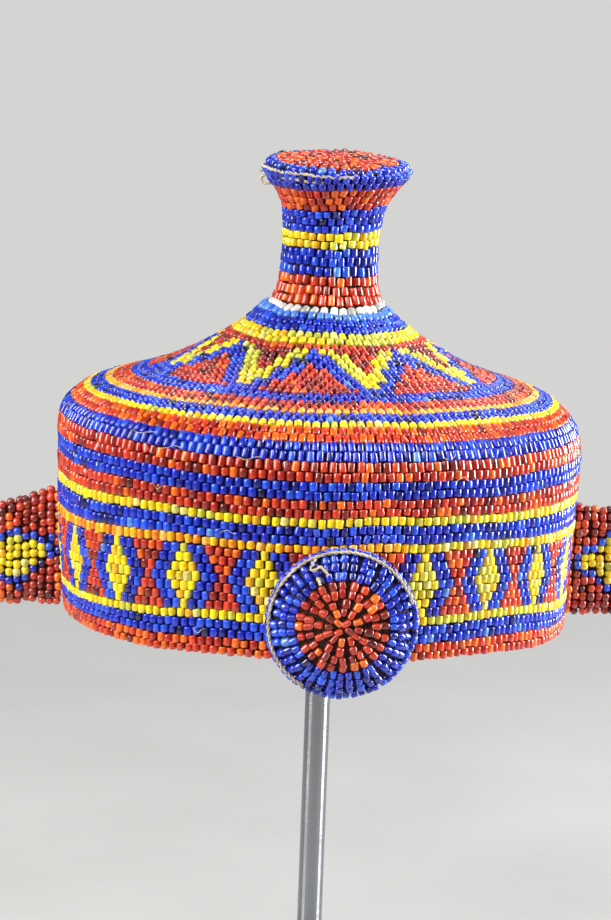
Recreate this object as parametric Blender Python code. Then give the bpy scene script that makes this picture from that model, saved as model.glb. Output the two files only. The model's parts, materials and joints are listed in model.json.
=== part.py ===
"""Beaded headdress on a display stand, as separate sub-parts in metres with +Z up.

The centre of the foot's underside is the origin, and the front of the headdress faces -Y.
"""

import math

import bmesh
import bpy
from mathutils import Matrix, Vector

# Clearance between neighbouring pieces
PIECE_GAP = 0.0003

# Where the headdress sits on its stand
RIM_HEIGHT = 0.165
HAT_SHIFT_X = -0.003

# Side wall
WALL_RADIUS = 0.0960
WALL_HEIGHT = 0.0775
WALL_THICKNESS = 0.0046

# Roof, from the top of the side wall to the foot of the finial
ROOF_RISE = 0.0345

# Finial: a spool with a domed disc on it, leaning a little
FINIAL_HEIGHT = 0.0484
FINIAL_WAIST_RADIUS = 0.0178
FINIAL_SHIFT_X = 0.0010
FINIAL_LEAN_DEG = 3.6
FINIAL_NOD_DEG = 5.4
FINIAL_DOME_HEIGHT = 0.0031

# Boss: a spool that stands out of the front of the wall, with a domed disc on it
BOSS_REACH = 0.0270
BOSS_WAIST_RADIUS = 0.0152
BOSS_CENTRE_HEIGHT = 0.0212
BOSS_DOME_HEIGHT = 0.0066

# Either domed disc: its thickness at the edge, and how far its edge lies inside its spool's
CAP_EDGE = 0.0018
CAP_INSET = 0.0009

# Side arms
ARM_REACH = 0.0400
ARM_WIDTH = 0.0390
ARM_THICKNESS = 0.0072
ARM_CENTRE_HEIGHT = 0.0165

# Display stand
BASE_RADIUS = 0.0700
BASE_THICKNESS = 0.0080
BASE_EDGE_BEVEL = 0.0012
ROD_RADIUS = 0.0047
ROD_SEAT_DEPTH = 0.0040
HEAD_RADIUS = 0.0300
HEAD_SKIRT = 0.0060
HEAD_SOCKET_DEPTH = 0.0080
HEAD_CLEARANCE = 0.00045

# Number of flats round the turned pieces
WALL_SIDES = 72
SPOOL_SIDES = 40
ROD_SIDES = 24

# Each row: share of the wall's height, share of the wall's radius
WALL_SECTIONS = (
    (0.00, 0.970),
    (0.17, 0.977),
    (0.36, 0.989),
    (0.58, 0.996),
    (0.76, 1.000),
    (0.84, 0.998),
    (0.91, 0.982),
    (0.96, 0.958),
    (1.00, 0.922),
)

# Each row: share of the roof's rise, share of the radius at the roof's lower edge
ROOF_SECTIONS = (
    (0.000, 1.000),
    (0.078, 0.955),
    (0.140, 0.899),
    (0.190, 0.838),
    (0.250, 0.756),
    (0.330, 0.665),
    (0.440, 0.566),
    (0.565, 0.478),
    (0.685, 0.404),
    (0.800, 0.338),
    (0.905, 0.290),
    (1.000, 0.255),
)

# Each row: share of the finial's height, share of its waist radius
FINIAL_SECTIONS = (
    (0.00, 1.190),
    (0.06, 1.100),
    (0.15, 1.030),
    (0.28, 1.000),
    (0.45, 1.000),
    (0.62, 1.025),
    (0.75, 1.090),
    (0.85, 1.260),
    (0.93, 1.450),
    (1.00, 1.555),
)

# Each row: share of the boss's reach, share of its waist radius
BOSS_SECTIONS = (
    (0.00, 1.180),
    (0.16, 1.070),
    (0.34, 1.005),
    (0.52, 1.010),
    (0.70, 1.120),
    (0.85, 1.340),
    (1.00, 1.635),
)

# Each row: share of the disc's radius, share of its dome's height
DOME_SECTIONS = (
    (1.00, 0.00),
    (0.96, 0.18),
    (0.86, 0.42),
    (0.70, 0.68),
    (0.50, 0.86),
    (0.27, 0.97),
    (0.08, 1.00),
)

# Each row: share of the reach, then the upper and lower edges of the left arm and of the right
# arm as shares of the arm's width from its centre line, then the share of its thickness
ARM_SECTIONS = (
    (-0.20, 0.66, 0.49, 0.60, 0.49, 1.15),
    (0.02, 0.65, 0.49, 0.59, 0.49, 1.12),
    (0.14, 0.62, 0.49, 0.58, 0.49, 1.05),
    (0.30, 0.56, 0.50, 0.57, 0.48, 1.00),
    (0.52, 0.48, 0.51, 0.56, 0.48, 1.00),
    (0.75, 0.46, 0.52, 0.54, 0.49, 1.00),
    (0.92, 0.45, 0.51, 0.53, 0.48, 0.96),
    (1.00, 0.42, 0.48, 0.50, 0.45, 0.70),
)

# Soft swells and dents of the wall. Each row: angle from the front towards the right in degrees,
# half width in degrees, share of the height, half height as a share, depth as a share of the radius.
# Where the share of the height goes past 1 the swell runs on over the roof.
WALL_SWELLS = (
    (-90.0, 70.0, 1.02, 0.27, 0.028),
    (-90.0, 70.0, 0.40, 0.40, 0.005),
    (90.0, 70.0, 1.02, 0.27, -0.004),
    (26.0, 12.0, 0.80, 0.50, 0.012),
    (44.0, 14.0, 0.55, 0.45, -0.008),
    (-40.0, 26.0, 0.85, 0.40, 0.008),
    (-150.0, 30.0, 0.45, 0.50, -0.010),
    (120.0, 34.0, 0.70, 0.50, 0.008),
)


def clear_scene():
    """Removes whatever the scene holds."""
    for existing in list(bpy.data.objects):
        bpy.data.objects.remove(existing, do_unlink=True)


def finish_material(name, colour, roughness, metallic=0.0):
    """A Principled material in one colour."""
    material = bpy.data.materials.new(name)
    material.use_nodes = True
    shader = material.node_tree.nodes["Principled BSDF"]
    shader.inputs["Base Color"].default_value = (*colour, 1.0)
    shader.inputs["Roughness"].default_value = roughness
    shader.inputs["Metallic"].default_value = metallic
    return material


def profile(sections, height, radius, foot):
    """(radius, height) points of a turned outline, from its foot upwards."""
    return [Vector((width * radius, foot + share * height)) for share, width in sections]


def moved_in(outline, distance):
    """The outline moved towards its axis and inside, at right angles to its run."""
    result = []
    for index, point in enumerate(outline):
        before = outline[max(index - 1, 0)]
        after = outline[min(index + 1, len(outline) - 1)]
        run = (after - before).normalized()
        result.append(point + distance * Vector((-run.y, run.x)))
    return result


def bell(offset):
    """A smooth hump: 1 in the middle and 0 from an offset of 1 outwards."""
    return (1 + math.cos(math.pi * min(abs(offset), 1.0))) / 2


def swell(angle, height):
    """How much the radius grows at this angle and height, as a share of it."""
    share = height / WALL_HEIGHT
    total = 0.0
    for row_angle, half_width, row_share, half_share, depth in WALL_SWELLS:
        apart = (math.degrees(angle) - row_angle + 180.0) % 360.0 - 180.0
        total += depth * bell(apart / half_width) * bell((share - row_share) / half_share)
    return total


def turned_rings(outline, sides, shaped=False):
    """One ring of points for each point of the outline, round the Z axis."""
    rings = []
    for radius, height in outline:
        ring = []
        for side in range(sides):
            angle = 2 * math.pi * side / sides
            grown = radius * (1 + swell(angle, height)) if shaped else radius
            ring.append(Vector((grown * math.sin(angle), -grown * math.cos(angle), height)))
        rings.append(ring)
    return rings


def skin(name, rings, material=None, looped=False):
    """An object whose faces join each ring to the next. A loop joins the last to the first."""
    mesh = bmesh.new()
    corners = [[mesh.verts.new(point) for point in ring] for ring in rings]
    pairs = list(zip(corners, corners[1:]))
    if looped:
        pairs.append((corners[-1], corners[0]))
    for lower, upper in pairs:
        for side in range(len(lower)):
            following = (side + 1) % len(lower)
            mesh.faces.new((lower[side], lower[following], upper[following], upper[side]))
    if not looped:
        for ring in (corners[0], corners[-1]):
            middle = sum((corner.co for corner in ring), Vector()) / len(ring)
            hub = mesh.verts.new(middle)
            for side in range(len(ring)):
                mesh.faces.new((ring[side], ring[(side + 1) % len(ring)], hub))
    bmesh.ops.recalc_face_normals(mesh, faces=mesh.faces)
    if mesh.calc_volume(signed=True) < 0:
        bmesh.ops.reverse_faces(mesh, faces=mesh.faces)
    data = bpy.data.meshes.new(name)
    mesh.to_mesh(data)
    mesh.free()
    data.shade_smooth()
    data.set_sharp_from_angle(angle=math.radians(40))
    if material:
        data.materials.append(material)
    made = bpy.data.objects.new(name, data)
    bpy.context.scene.collection.objects.link(made)
    return made


def wall_outline():
    """The outer outline of the side wall, from the rim to the seam with the roof."""
    return profile(WALL_SECTIONS, WALL_HEIGHT, WALL_RADIUS, 0.0)


def seam_radii():
    """The outer and inner radius of the flat seam between the wall and the roof."""
    outline = wall_outline()
    run = (outline[-1] - outline[-2]).normalized()
    return outline[-1].x, outline[-1].x - WALL_THICKNESS / run.y


def roof_outline():
    """The outer outline of the roof, from the seam to the foot of the finial."""
    seam = seam_radii()[0]
    return profile(ROOF_SECTIONS, ROOF_RISE, seam, WALL_HEIGHT + PIECE_GAP)


def roof_inner_outline():
    """The inner outline of the roof, from just above the seam to its flat ceiling."""
    seam = seam_radii()[1]
    outer = roof_outline()
    ceiling = outer[-1].y - WALL_THICKNESS
    inside = moved_in(outer, WALL_THICKNESS)
    lowest = WALL_HEIGHT + 2 * PIECE_GAP
    return [point for point in inside if point.x < seam and lowest < point.y < ceiling]


def build_side_wall(material):
    """The drum: a shell that is open below, with a flat seam on top."""
    outer = wall_outline()
    seam = seam_radii()[1]
    offset = moved_in(outer, WALL_THICKNESS)
    inner = [point for point in offset if PIECE_GAP < point.y < WALL_HEIGHT - PIECE_GAP]
    rim = Vector((outer[0].x - WALL_THICKNESS, 0.0))
    loop = outer + [Vector((seam, WALL_HEIGHT))] + inner[::-1] + [rim]
    return skin("side_wall", turned_rings(loop, WALL_SIDES, True), material, looped=True)


def build_roof(material):
    """The cone: a shell with a flat crown under the finial and a flat seam below."""
    outer = roof_outline()
    seam = seam_radii()[1]
    under = [Vector((seam, WALL_HEIGHT + PIECE_GAP))] + roof_inner_outline()
    return skin("roof", turned_rings(under[::-1] + outer, WALL_SIDES, True), material)


def finial_frame(share):
    """The place and tilt of the finial's section at this share of its height."""
    foot = WALL_HEIGHT + ROOF_RISE + 2 * PIECE_GAP
    lean = math.radians(FINIAL_LEAN_DEG) * share
    nod = math.radians(FINIAL_NOD_DEG) * share
    centre = Vector(
        (
            FINIAL_SHIFT_X + FINIAL_HEIGHT * share * math.sin(lean) / 2,
            -FINIAL_HEIGHT * share * math.sin(nod) / 2,
            foot + FINIAL_HEIGHT * share,
        )
    )
    tilt = Matrix.Rotation(lean, 4, "Y") @ Matrix.Rotation(nod, 4, "X")
    return Matrix.Translation(centre) @ tilt


def build_finial_neck(material):
    """The spool on the roof, whose sections turn step by step into its lean."""
    rings = []
    for share, width in FINIAL_SECTIONS:
        flat = turned_rings([(width * FINIAL_WAIST_RADIUS, 0.0)], SPOOL_SIDES)[0]
        place = finial_frame(share)
        rings.append([place @ point for point in flat])
    return skin("finial_neck", rings, material)


def dome_rings(spool_radius, dome_height):
    """The rings of a domed disc that lies on z = 0, on the end of a spool of this radius."""
    radius = spool_radius - CAP_INSET
    outline = [(radius, 0.0)]
    outline += [(share * radius, CAP_EDGE + rise * dome_height) for share, rise in DOME_SECTIONS]
    return turned_rings(outline, SPOOL_SIDES)


def build_finial_cap(material):
    """The domed disc on the finial's spool."""
    end_radius = FINIAL_SECTIONS[-1][1] * FINIAL_WAIST_RADIUS
    cap = skin("finial_cap", dome_rings(end_radius, FINIAL_DOME_HEIGHT), material)
    cap.matrix_world = finial_frame(1.0) @ Matrix.Translation((0, 0, PIECE_GAP))
    return cap


def as_cutter(piece):
    """Marks the piece as a helper that is no part of the object."""
    piece.hide_render = True
    piece.display_type = "WIRE"
    return piece


def cut_with(piece, cutter):
    """Takes the cutter's shape out of the piece with a Boolean."""
    modifier = piece.modifiers.new("cut_" + cutter.name, "BOOLEAN")
    modifier.operation = "DIFFERENCE"
    modifier.solver = "EXACT"
    modifier.object = cutter


def build_wall_clearance():
    """A cutter in the wall's outer shape and a gap more, for what is sewn onto the wall."""
    outer = wall_outline()
    below = Vector((outer[0].x, -ARM_WIDTH))
    above = Vector((outer[-1].x, WALL_HEIGHT + ARM_WIDTH))
    outline = [point + Vector((PIECE_GAP, 0.0)) for point in [below] + outer + [above]]
    return as_cutter(skin("wall_clearance", turned_rings(outline, WALL_SIDES, True)))


def boss_seat():
    """How far from the headdress's axis the boss's spool ends."""
    return WALL_RADIUS + BOSS_REACH


def build_boss_neck(material, cutter):
    """The spool that stands out of the front of the wall."""
    root = WALL_RADIUS - 2 * WALL_THICKNESS
    outline = [(BOSS_SECTIONS[0][1] * BOSS_WAIST_RADIUS, root)]
    for share, width in BOSS_SECTIONS:
        outline.append((width * BOSS_WAIST_RADIUS, WALL_RADIUS + share * BOSS_REACH))
    turn = Matrix.Rotation(math.radians(90), 4, "X")
    rings = [[turn @ point for point in ring] for ring in turned_rings(outline, SPOOL_SIDES)]
    neck = skin("boss_neck", rings, material)
    neck.location.z = BOSS_CENTRE_HEIGHT
    cut_with(neck, cutter)
    return neck


def build_boss_cap(material):
    """The domed disc on the front of the boss."""
    end_radius = BOSS_SECTIONS[-1][1] * BOSS_WAIST_RADIUS
    cap = skin("boss_cap", dome_rings(end_radius, BOSS_DOME_HEIGHT), material)
    cap.location = (0.0, -(boss_seat() + PIECE_GAP), BOSS_CENTRE_HEIGHT)
    cap.rotation_euler.x = math.radians(90)
    return cap


def arm_ring(reach, upper, lower, thickness):
    """A flat oval across the arm: two round edges joined by flat faces."""
    half = thickness / 2
    edge_steps = 6
    face_steps = 3
    points = []
    for middle, other, start in ((upper - half, lower + half, 0), (lower + half, upper - half, 180)):
        for step in range(edge_steps + 1):
            angle = math.radians(start + 180 * step / edge_steps)
            points.append(Vector((reach, half * math.cos(angle), middle + half * math.sin(angle))))
        side = -half if start == 0 else half
        for step in range(1, face_steps):
            height = middle + (other - middle) * step / face_steps
            points.append(Vector((reach, side, height)))
    return points


def build_arm(name, direction, material, cutter):
    """A padded band out of one side of the wall. The direction is -1 for left and 1 for right."""
    rings = []
    for share, left_up, left_down, right_up, right_down, thick in ARM_SECTIONS:
        up, down = (left_up, left_down) if direction < 0 else (right_up, right_down)
        rings.append(
            arm_ring(
                direction * (WALL_RADIUS + share * ARM_REACH),
                ARM_CENTRE_HEIGHT + up * ARM_WIDTH,
                ARM_CENTRE_HEIGHT - down * ARM_WIDTH,
                thick * ARM_THICKNESS,
            )
        )
    arm = skin(name, rings, material)
    cut_with(arm, cutter)
    return arm


def head_cone():
    """The part of the roof's inner outline that the stand's head fills, a gap below it."""
    drop = Vector((0.0, HEAD_CLEARANCE))
    return [point - drop for point in roof_inner_outline() if point.x < HEAD_RADIUS]


def head_foot():
    """The height of the flat underside of the stand's head above the headdress's rim."""
    widest = head_cone()[0]
    return widest.y - (HEAD_RADIUS - widest.x) - HEAD_SKIRT


def build_stand_head(material):
    """The cone that holds up the roof from inside, with its socket for the rod."""
    foot = head_foot()
    outline = [(HEAD_RADIUS, foot), (HEAD_RADIUS, foot + HEAD_SKIRT)] + head_cone()
    head = skin("stand_head", turned_rings(outline, SPOOL_SIDES), material)
    bore = ROD_RADIUS + PIECE_GAP
    depths = [(bore, foot - HEAD_SKIRT), (bore, foot + HEAD_SOCKET_DEPTH)]
    socket = as_cutter(skin("rod_clearance", turned_rings(depths, ROD_SIDES)))
    socket.parent = head
    socket.location.x = -HAT_SHIFT_X
    cut_with(head, socket)
    return head


def build_stand_base(material):
    """The round foot, with a socket for the rod."""
    seat = ROD_RADIUS + PIECE_GAP
    bevel = BASE_EDGE_BEVEL
    outline = [
        (BASE_RADIUS - bevel, 0.0),
        (BASE_RADIUS, bevel),
        (BASE_RADIUS, BASE_THICKNESS - bevel),
        (BASE_RADIUS - bevel, BASE_THICKNESS),
        (seat, BASE_THICKNESS),
        (seat, BASE_THICKNESS - ROD_SEAT_DEPTH),
    ]
    return skin("stand_base", turned_rings(outline, WALL_SIDES), material)


def build_stand_rod(material):
    """The rod, from the socket in the foot to the socket in the head."""
    foot = BASE_THICKNESS - ROD_SEAT_DEPTH + PIECE_GAP
    top = RIM_HEIGHT + head_foot() + HEAD_SOCKET_DEPTH - PIECE_GAP
    outline = [(ROD_RADIUS, foot), (ROD_RADIUS, top)]
    return skin("stand_rod", turned_rings(outline, ROD_SIDES), material)


def build():
    """Builds every piece and seats the headdress on its stand."""
    clear_scene()
    red_beads = finish_material("red_beadwork", (0.56, 0.07, 0.03), 0.35)
    blue_beads = finish_material("blue_beadwork", (0.03, 0.06, 0.45), 0.35)
    steel = finish_material("polished_steel", (0.62, 0.63, 0.65), 0.22, 1.0)
    black = finish_material("black_support", (0.02, 0.02, 0.02), 0.6)
    seat = bpy.data.objects.new("headdress_seat", None)
    bpy.context.scene.collection.objects.link(seat)
    cutter = build_wall_clearance()
    pieces = [
        cutter,
        build_stand_head(black),
        build_side_wall(red_beads),
        build_roof(red_beads),
        build_finial_neck(blue_beads),
        build_finial_cap(red_beads),
        build_boss_neck(blue_beads, cutter),
        build_boss_cap(red_beads),
        build_arm("left_arm", -1, red_beads, cutter),
        build_arm("right_arm", 1, red_beads, cutter),
    ]
    for piece in pieces:
        piece.parent = seat
    seat.location = (HAT_SHIFT_X, 0.0, RIM_HEIGHT)
    build_stand_base(steel)
    build_stand_rod(steel)


build()
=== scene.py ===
"""Looks of the beaded headdress on its display stand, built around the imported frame.

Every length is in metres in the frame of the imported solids, with +Z up and the front at -Y.
Angles round the headdress start at its front and grow towards +X.
"""

import json
import logging
import math
from dataclasses import dataclass, field
from enum import Enum

import bpy
import numpy as np
from mathutils import Matrix, Vector
from mathutils.bvhtree import BVHTree

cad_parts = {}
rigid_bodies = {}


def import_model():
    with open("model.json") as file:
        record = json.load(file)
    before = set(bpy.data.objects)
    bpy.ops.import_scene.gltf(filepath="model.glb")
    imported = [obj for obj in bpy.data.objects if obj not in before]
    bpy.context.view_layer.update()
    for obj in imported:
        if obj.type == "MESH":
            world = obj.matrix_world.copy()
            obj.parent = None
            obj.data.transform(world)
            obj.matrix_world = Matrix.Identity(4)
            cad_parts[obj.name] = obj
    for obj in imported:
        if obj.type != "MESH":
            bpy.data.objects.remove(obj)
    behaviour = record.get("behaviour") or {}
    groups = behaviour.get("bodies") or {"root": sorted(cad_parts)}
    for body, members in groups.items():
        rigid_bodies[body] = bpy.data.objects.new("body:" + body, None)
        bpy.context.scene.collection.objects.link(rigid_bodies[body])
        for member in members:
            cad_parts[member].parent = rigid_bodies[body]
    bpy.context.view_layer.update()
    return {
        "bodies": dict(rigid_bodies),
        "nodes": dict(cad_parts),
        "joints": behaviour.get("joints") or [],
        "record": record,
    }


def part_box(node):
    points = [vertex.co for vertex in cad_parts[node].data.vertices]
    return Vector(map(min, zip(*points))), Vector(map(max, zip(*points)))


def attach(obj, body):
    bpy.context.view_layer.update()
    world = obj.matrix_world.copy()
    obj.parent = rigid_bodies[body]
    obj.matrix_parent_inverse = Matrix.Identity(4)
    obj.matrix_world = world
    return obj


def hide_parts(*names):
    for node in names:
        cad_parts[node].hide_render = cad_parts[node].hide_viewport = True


log = logging.getLogger("beaded_headdress")

Array = np.ndarray
Box = tuple[Vector, Vector]
Colour = tuple[float, float, float, float]
Faces = list[tuple[int, ...]]
Inputs = dict[int | str, object]
Places = tuple[Array, Array, Array]
Socket = bpy.types.NodeSocket

BODY = "root"
MM = 0.001
TURN = 2 * math.pi
UP, FRONT = Vector((0, 0, 1)), Vector((0, -1, 0))
PROBES = 24
WALL_RADIUS, CORE_RADIUS = 0.09, 0.02


class Shade(Enum):
    """One colour of glass, as red, green and blue out of 255."""

    TOMATO = (208, 60, 28)
    SCARLET = (180, 40, 24)
    BRICK = (140, 38, 26)
    GARNET = (96, 22, 18)
    ORANGE = (240, 104, 14)
    COBALT = (18, 42, 186)
    ROYAL = (34, 80, 222)
    DEEP_BLUE = (14, 26, 128)
    NAVY = (10, 12, 70)
    SKY = (84, 138, 232)
    LEMON = (248, 218, 8)
    CHROME = (248, 184, 10)
    AMBER = (240, 138, 8)
    APRICOT = (242, 180, 72)
    LIME = (208, 206, 60)
    PALE_YELLOW = (232, 222, 116)
    WHITE = (232, 230, 220)
    SMOKE = (176, 182, 176)

    def linear(self) -> Array:
        """The colour as the renderer counts it."""
        share = np.array(self.value) / 255
        return np.where(share > 0.04045, ((share + 0.055) / 1.055) ** 2.4, share / 12.92)


class Mix(Enum):
    """What one string of beads holds: its shades with their shares."""

    RED = {"TOMATO": 42, "SCARLET": 28, "BRICK": 14, "ORANGE": 13, "GARNET": 3}
    FLAME = {"TOMATO": 46, "ORANGE": 34, "SCARLET": 15, "BRICK": 5}
    BRICK = {"BRICK": 50, "SCARLET": 26, "GARNET": 14, "TOMATO": 10}
    BLUE = {"COBALT": 56, "ROYAL": 30, "DEEP_BLUE": 11, "NAVY": 2, "SKY": 1}
    YELLOW = {"LEMON": 60, "CHROME": 16, "LIME": 15, "PALE_YELLOW": 9}
    LIME = {"LEMON": 40, "LIME": 42, "CHROME": 9, "PALE_YELLOW": 9}
    AMBER = {"CHROME": 50, "AMBER": 42, "APRICOT": 8}
    APRICOT = {"APRICOT": 58, "CHROME": 24, "AMBER": 18}
    LIGHT_BLUE = {"SKY": 88, "ROYAL": 12}
    WHITE = {"WHITE": 84, "SMOKE": 16}

    def draw(self, rng: np.random.Generator, count: int) -> Array:
        """Draws the colours of beads from the string.

        Args:
            rng: The seeded source of chance.
            count: How many beads.

        Returns:
            One row of red, green and blue for each bead.
        """
        shades = np.array([Shade[name].linear() for name in self.value])
        shares = np.array(list(self.value.values()), float)
        return shades[rng.choice(len(shades), count, p=shares / shares.sum())]

    def over(self, rng: np.random.Generator, found: Array, where: Array) -> Array:
        """The colours found, with beads of this string where they are asked for."""
        return np.where(where[:, None], self.draw(rng, len(found)), found)


class Motif(Enum):
    """A band whose rows hold a figure."""

    LOZENGES = "yellow lozenges edged in blue on red"
    TRIANGLES = "red triangles edged in blue and yellow on brick red"


class Cast(Enum):
    """How a ray meets a turned surface."""

    SIDE = "in towards the axis"
    TOP = "back along the axis"


PAINTS = {
    "R": Mix.RED, "F": Mix.FLAME, "B": Mix.BLUE, "Y": Mix.YELLOW, "M": Mix.LIME, "A": Mix.AMBER,
    "P": Mix.APRICOT, "S": Mix.LIGHT_BLUE, "W": Mix.WHITE, "L": Motif.LOZENGES, "T": Motif.TRIANGLES,
}


@dataclass(frozen=True)
class Nodes:
    """Makes shader nodes in one material's tree."""

    tree: bpy.types.NodeTree

    def give(self, node: bpy.types.Node, inputs: Inputs) -> None:
        """Gives a node what its inputs take.

        Args:
            node: The node.
            inputs: For each input's name or number, a socket to link to it or a value for it.
        """
        for name, value in inputs.items():
            if isinstance(value, Socket):
                self.tree.links.new(value, node.inputs[name])
            else:
                node.inputs[name].default_value = value

    def add(self, kind: str, inputs: Inputs | None = None, **settings: object) -> bpy.types.NodeOutputs:
        """Adds a node.

        Args:
            kind: The node's type, without the words that every type starts with.
            inputs: What give() takes.
            settings: Properties of the node.

        Returns:
            The new node's outputs.
        """
        node = self.tree.nodes.new("ShaderNode" + kind)
        for name, value in settings.items():
            setattr(node, name, value)
        self.give(node, inputs or {})
        return node.outputs

    def place(self) -> Socket:
        """Where a point lies on the object."""
        return self.add("TexCoord")["Object"]

    def math(self, operation: str, first: object, second: object = 0.0) -> Socket:
        """The result of a sum on two sockets or numbers."""
        return self.add("Math", {0: first, 1: second}, operation=operation)[0]

    def noise(self, place: Socket, scale: float, detail: float = 2.0) -> Socket:
        """Noise from 0 to 1 at a place."""
        return self.add("TexNoise", {"Vector": place, "Scale": scale, "Detail": detail})["Fac"]

    def spread(
        self, value: Socket, low: float, high: float, edges: tuple[float, float] = (0.3, 0.7)
    ) -> Socket:
        """The value moved from between the edges to between low and high."""
        inputs = {"Value": value, "From Min": edges[0], "From Max": edges[1], "To Min": low, "To Max": high}
        return self.add("MapRange", inputs)["Result"]

    def blend(self, share: object, first: object, second: object, kind: str = "MIX") -> Socket:
        """A mix of two colours."""
        return self.add("Mix", {0: share, 6: first, 7: second}, data_type="RGBA", blend_type=kind)[2]

    def bump(self, height: Socket, strength: float, distance: float) -> Socket:
        """A normal from a height in metres."""
        return self.add("Bump", {"Height": height, "Strength": strength, "Distance": distance})["Normal"]


@dataclass(frozen=True)
class Finish:
    """A surface's finish. Each kind below adds its own pattern."""

    name: str
    roughness: float = 0.5
    metallic: float = 0.0

    def material(self) -> bpy.types.Material:
        """Makes the finish's material, unless an earlier piece made it.

        Returns:
            The material.
        """
        made = bpy.data.materials.get(self.name)
        if made is None:
            made = bpy.data.materials.new(self.name)
            made.use_nodes = True
            nodes = Nodes(made.node_tree)
            shader = nodes.tree.nodes["Principled BSDF"]
            nodes.give(shader, {"Roughness": self.roughness, "Metallic": self.metallic})
            nodes.give(shader, self.pattern(nodes))
        return made

    def pattern(self, nodes: Nodes) -> Inputs:
        """What else the shader's inputs take, made from the material's nodes."""
        return {}


@dataclass(frozen=True)
class BeadGlass(Finish):
    """Opaque glass whose colour each bead brings along, cloudy inside and glossy outside."""

    cloud_scale: float = 900.0
    gloss: tuple[float, float] = (0.08, 0.22)

    def pattern(self, nodes: Nodes) -> Inputs:
        """The beads' own colours, their clouds and their uneven gloss.

        Args:
            nodes: Makes the material's nodes.

        Returns:
            What the shader's inputs take.
        """
        place = nodes.place()
        cloud = nodes.noise(place, self.cloud_scale, 3.0)
        dusk = nodes.spread(cloud, 0.74, 1.12)
        grey = nodes.add("CombineColor", {0: dusk, 1: dusk, 2: dusk})[0]
        own = nodes.add("Attribute", attribute_name=BeadBatch.COLOUR)["Color"]
        return {
            "Base Color": nodes.blend(1.0, own, grey, "MULTIPLY"),
            "Roughness": nodes.spread(nodes.noise(place, self.cloud_scale / 3), *self.gloss),
            "Normal": nodes.bump(cloud, 0.25, 0.00012),
            "IOR": 1.52,
            "Coat Weight": 0.9,
            "Coat Roughness": 0.05,
        }


@dataclass(frozen=True)
class PlaitedFibre(Finish):
    """Dry plant fibre, plaited over and under in strands of one width."""

    strand: float = 0.0030
    dark: Colour = (0.15, 0.085, 0.038, 1)
    light: Colour = (0.50, 0.35, 0.18, 1)

    def pattern(self, nodes: Nodes) -> Inputs:
        """Strands that pass over and under each other, and the fibres in them, with the low parts of the
        weave painted darker as painted shade.

        Args:
            nodes: Makes the material's nodes.

        Returns:
            What the shader's inputs take.
        """
        lay = nodes.add("SeparateXYZ", {0: nodes.add("UVMap", uv_map=Foundation.LAY)["UV"]})
        ways = [nodes.math("MULTIPLY", lay[part], math.pi / self.strand) for part in "XY"]
        warp, weft = (nodes.math("ABSOLUTE", nodes.math("SINE", way)) for way in ways)
        over = nodes.math("MULTIPLY", *(nodes.math("SINE", nodes.math("MULTIPLY", way, 0.5)) for way in ways))
        lift = nodes.spread(over, 0.0, 1.0, (-0.35, 0.35))
        under = nodes.math("MULTIPLY", weft, nodes.math("SUBTRACT", 1.0, lift))
        height = nodes.math("ADD", nodes.math("MULTIPLY", warp, lift), under)
        place = nodes.place()
        drawn = nodes.add("Mapping", {"Vector": place, "Scale": (1.0, 1.0, 0.12)})["Vector"]
        fibres = nodes.noise(drawn, 1600.0, 4.0)
        worn = nodes.math("ADD", nodes.math("MULTIPLY", fibres, 0.5), nodes.noise(place, 55.0, 3.0))
        # Painted shade: the fibre's colour is darker where the weave lies low, between and under the strands.
        tone = nodes.math("MULTIPLY", worn, nodes.math("ADD", nodes.math("MULTIPLY", height, 0.6), 0.35))
        relief = nodes.math("ADD", height, nodes.math("MULTIPLY", fibres, 0.25))
        return {
            "Base Color": nodes.blend(nodes.spread(tone, 0.0, 1.0, (0.15, 0.95)), self.dark, self.light),
            "Roughness": nodes.spread(fibres, 0.62, 0.92),
            "Normal": nodes.bump(relief, 0.8, 0.0006),
            "Specular IOR Level": 0.2,
        }


@dataclass(frozen=True)
class CottonTwist(Finish):
    """Cotton yarn, a little soiled."""

    clean: Colour = (0.72, 0.62, 0.43, 1)
    soiled: Colour = (0.40, 0.30, 0.17, 1)

    def pattern(self, nodes: Nodes) -> Inputs:
        """The soiling and the fine hairs of the yarn.

        Args:
            nodes: Makes the material's nodes.

        Returns:
            What the shader's inputs take.
        """
        place = nodes.place()
        hairs = nodes.noise(place, 3500.0, 4.0)
        soil = nodes.spread(nodes.noise(place, 160.0, 3.0), 0.0, 0.9)
        return {
            "Base Color": nodes.blend(soil, self.clean, self.soiled),
            "Roughness": nodes.spread(hairs, 0.75, 0.98),
            "Normal": nodes.bump(hairs, 0.7, 0.00025),
            "Sheen Weight": 0.3,
            "Specular IOR Level": 0.15,
        }


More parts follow.
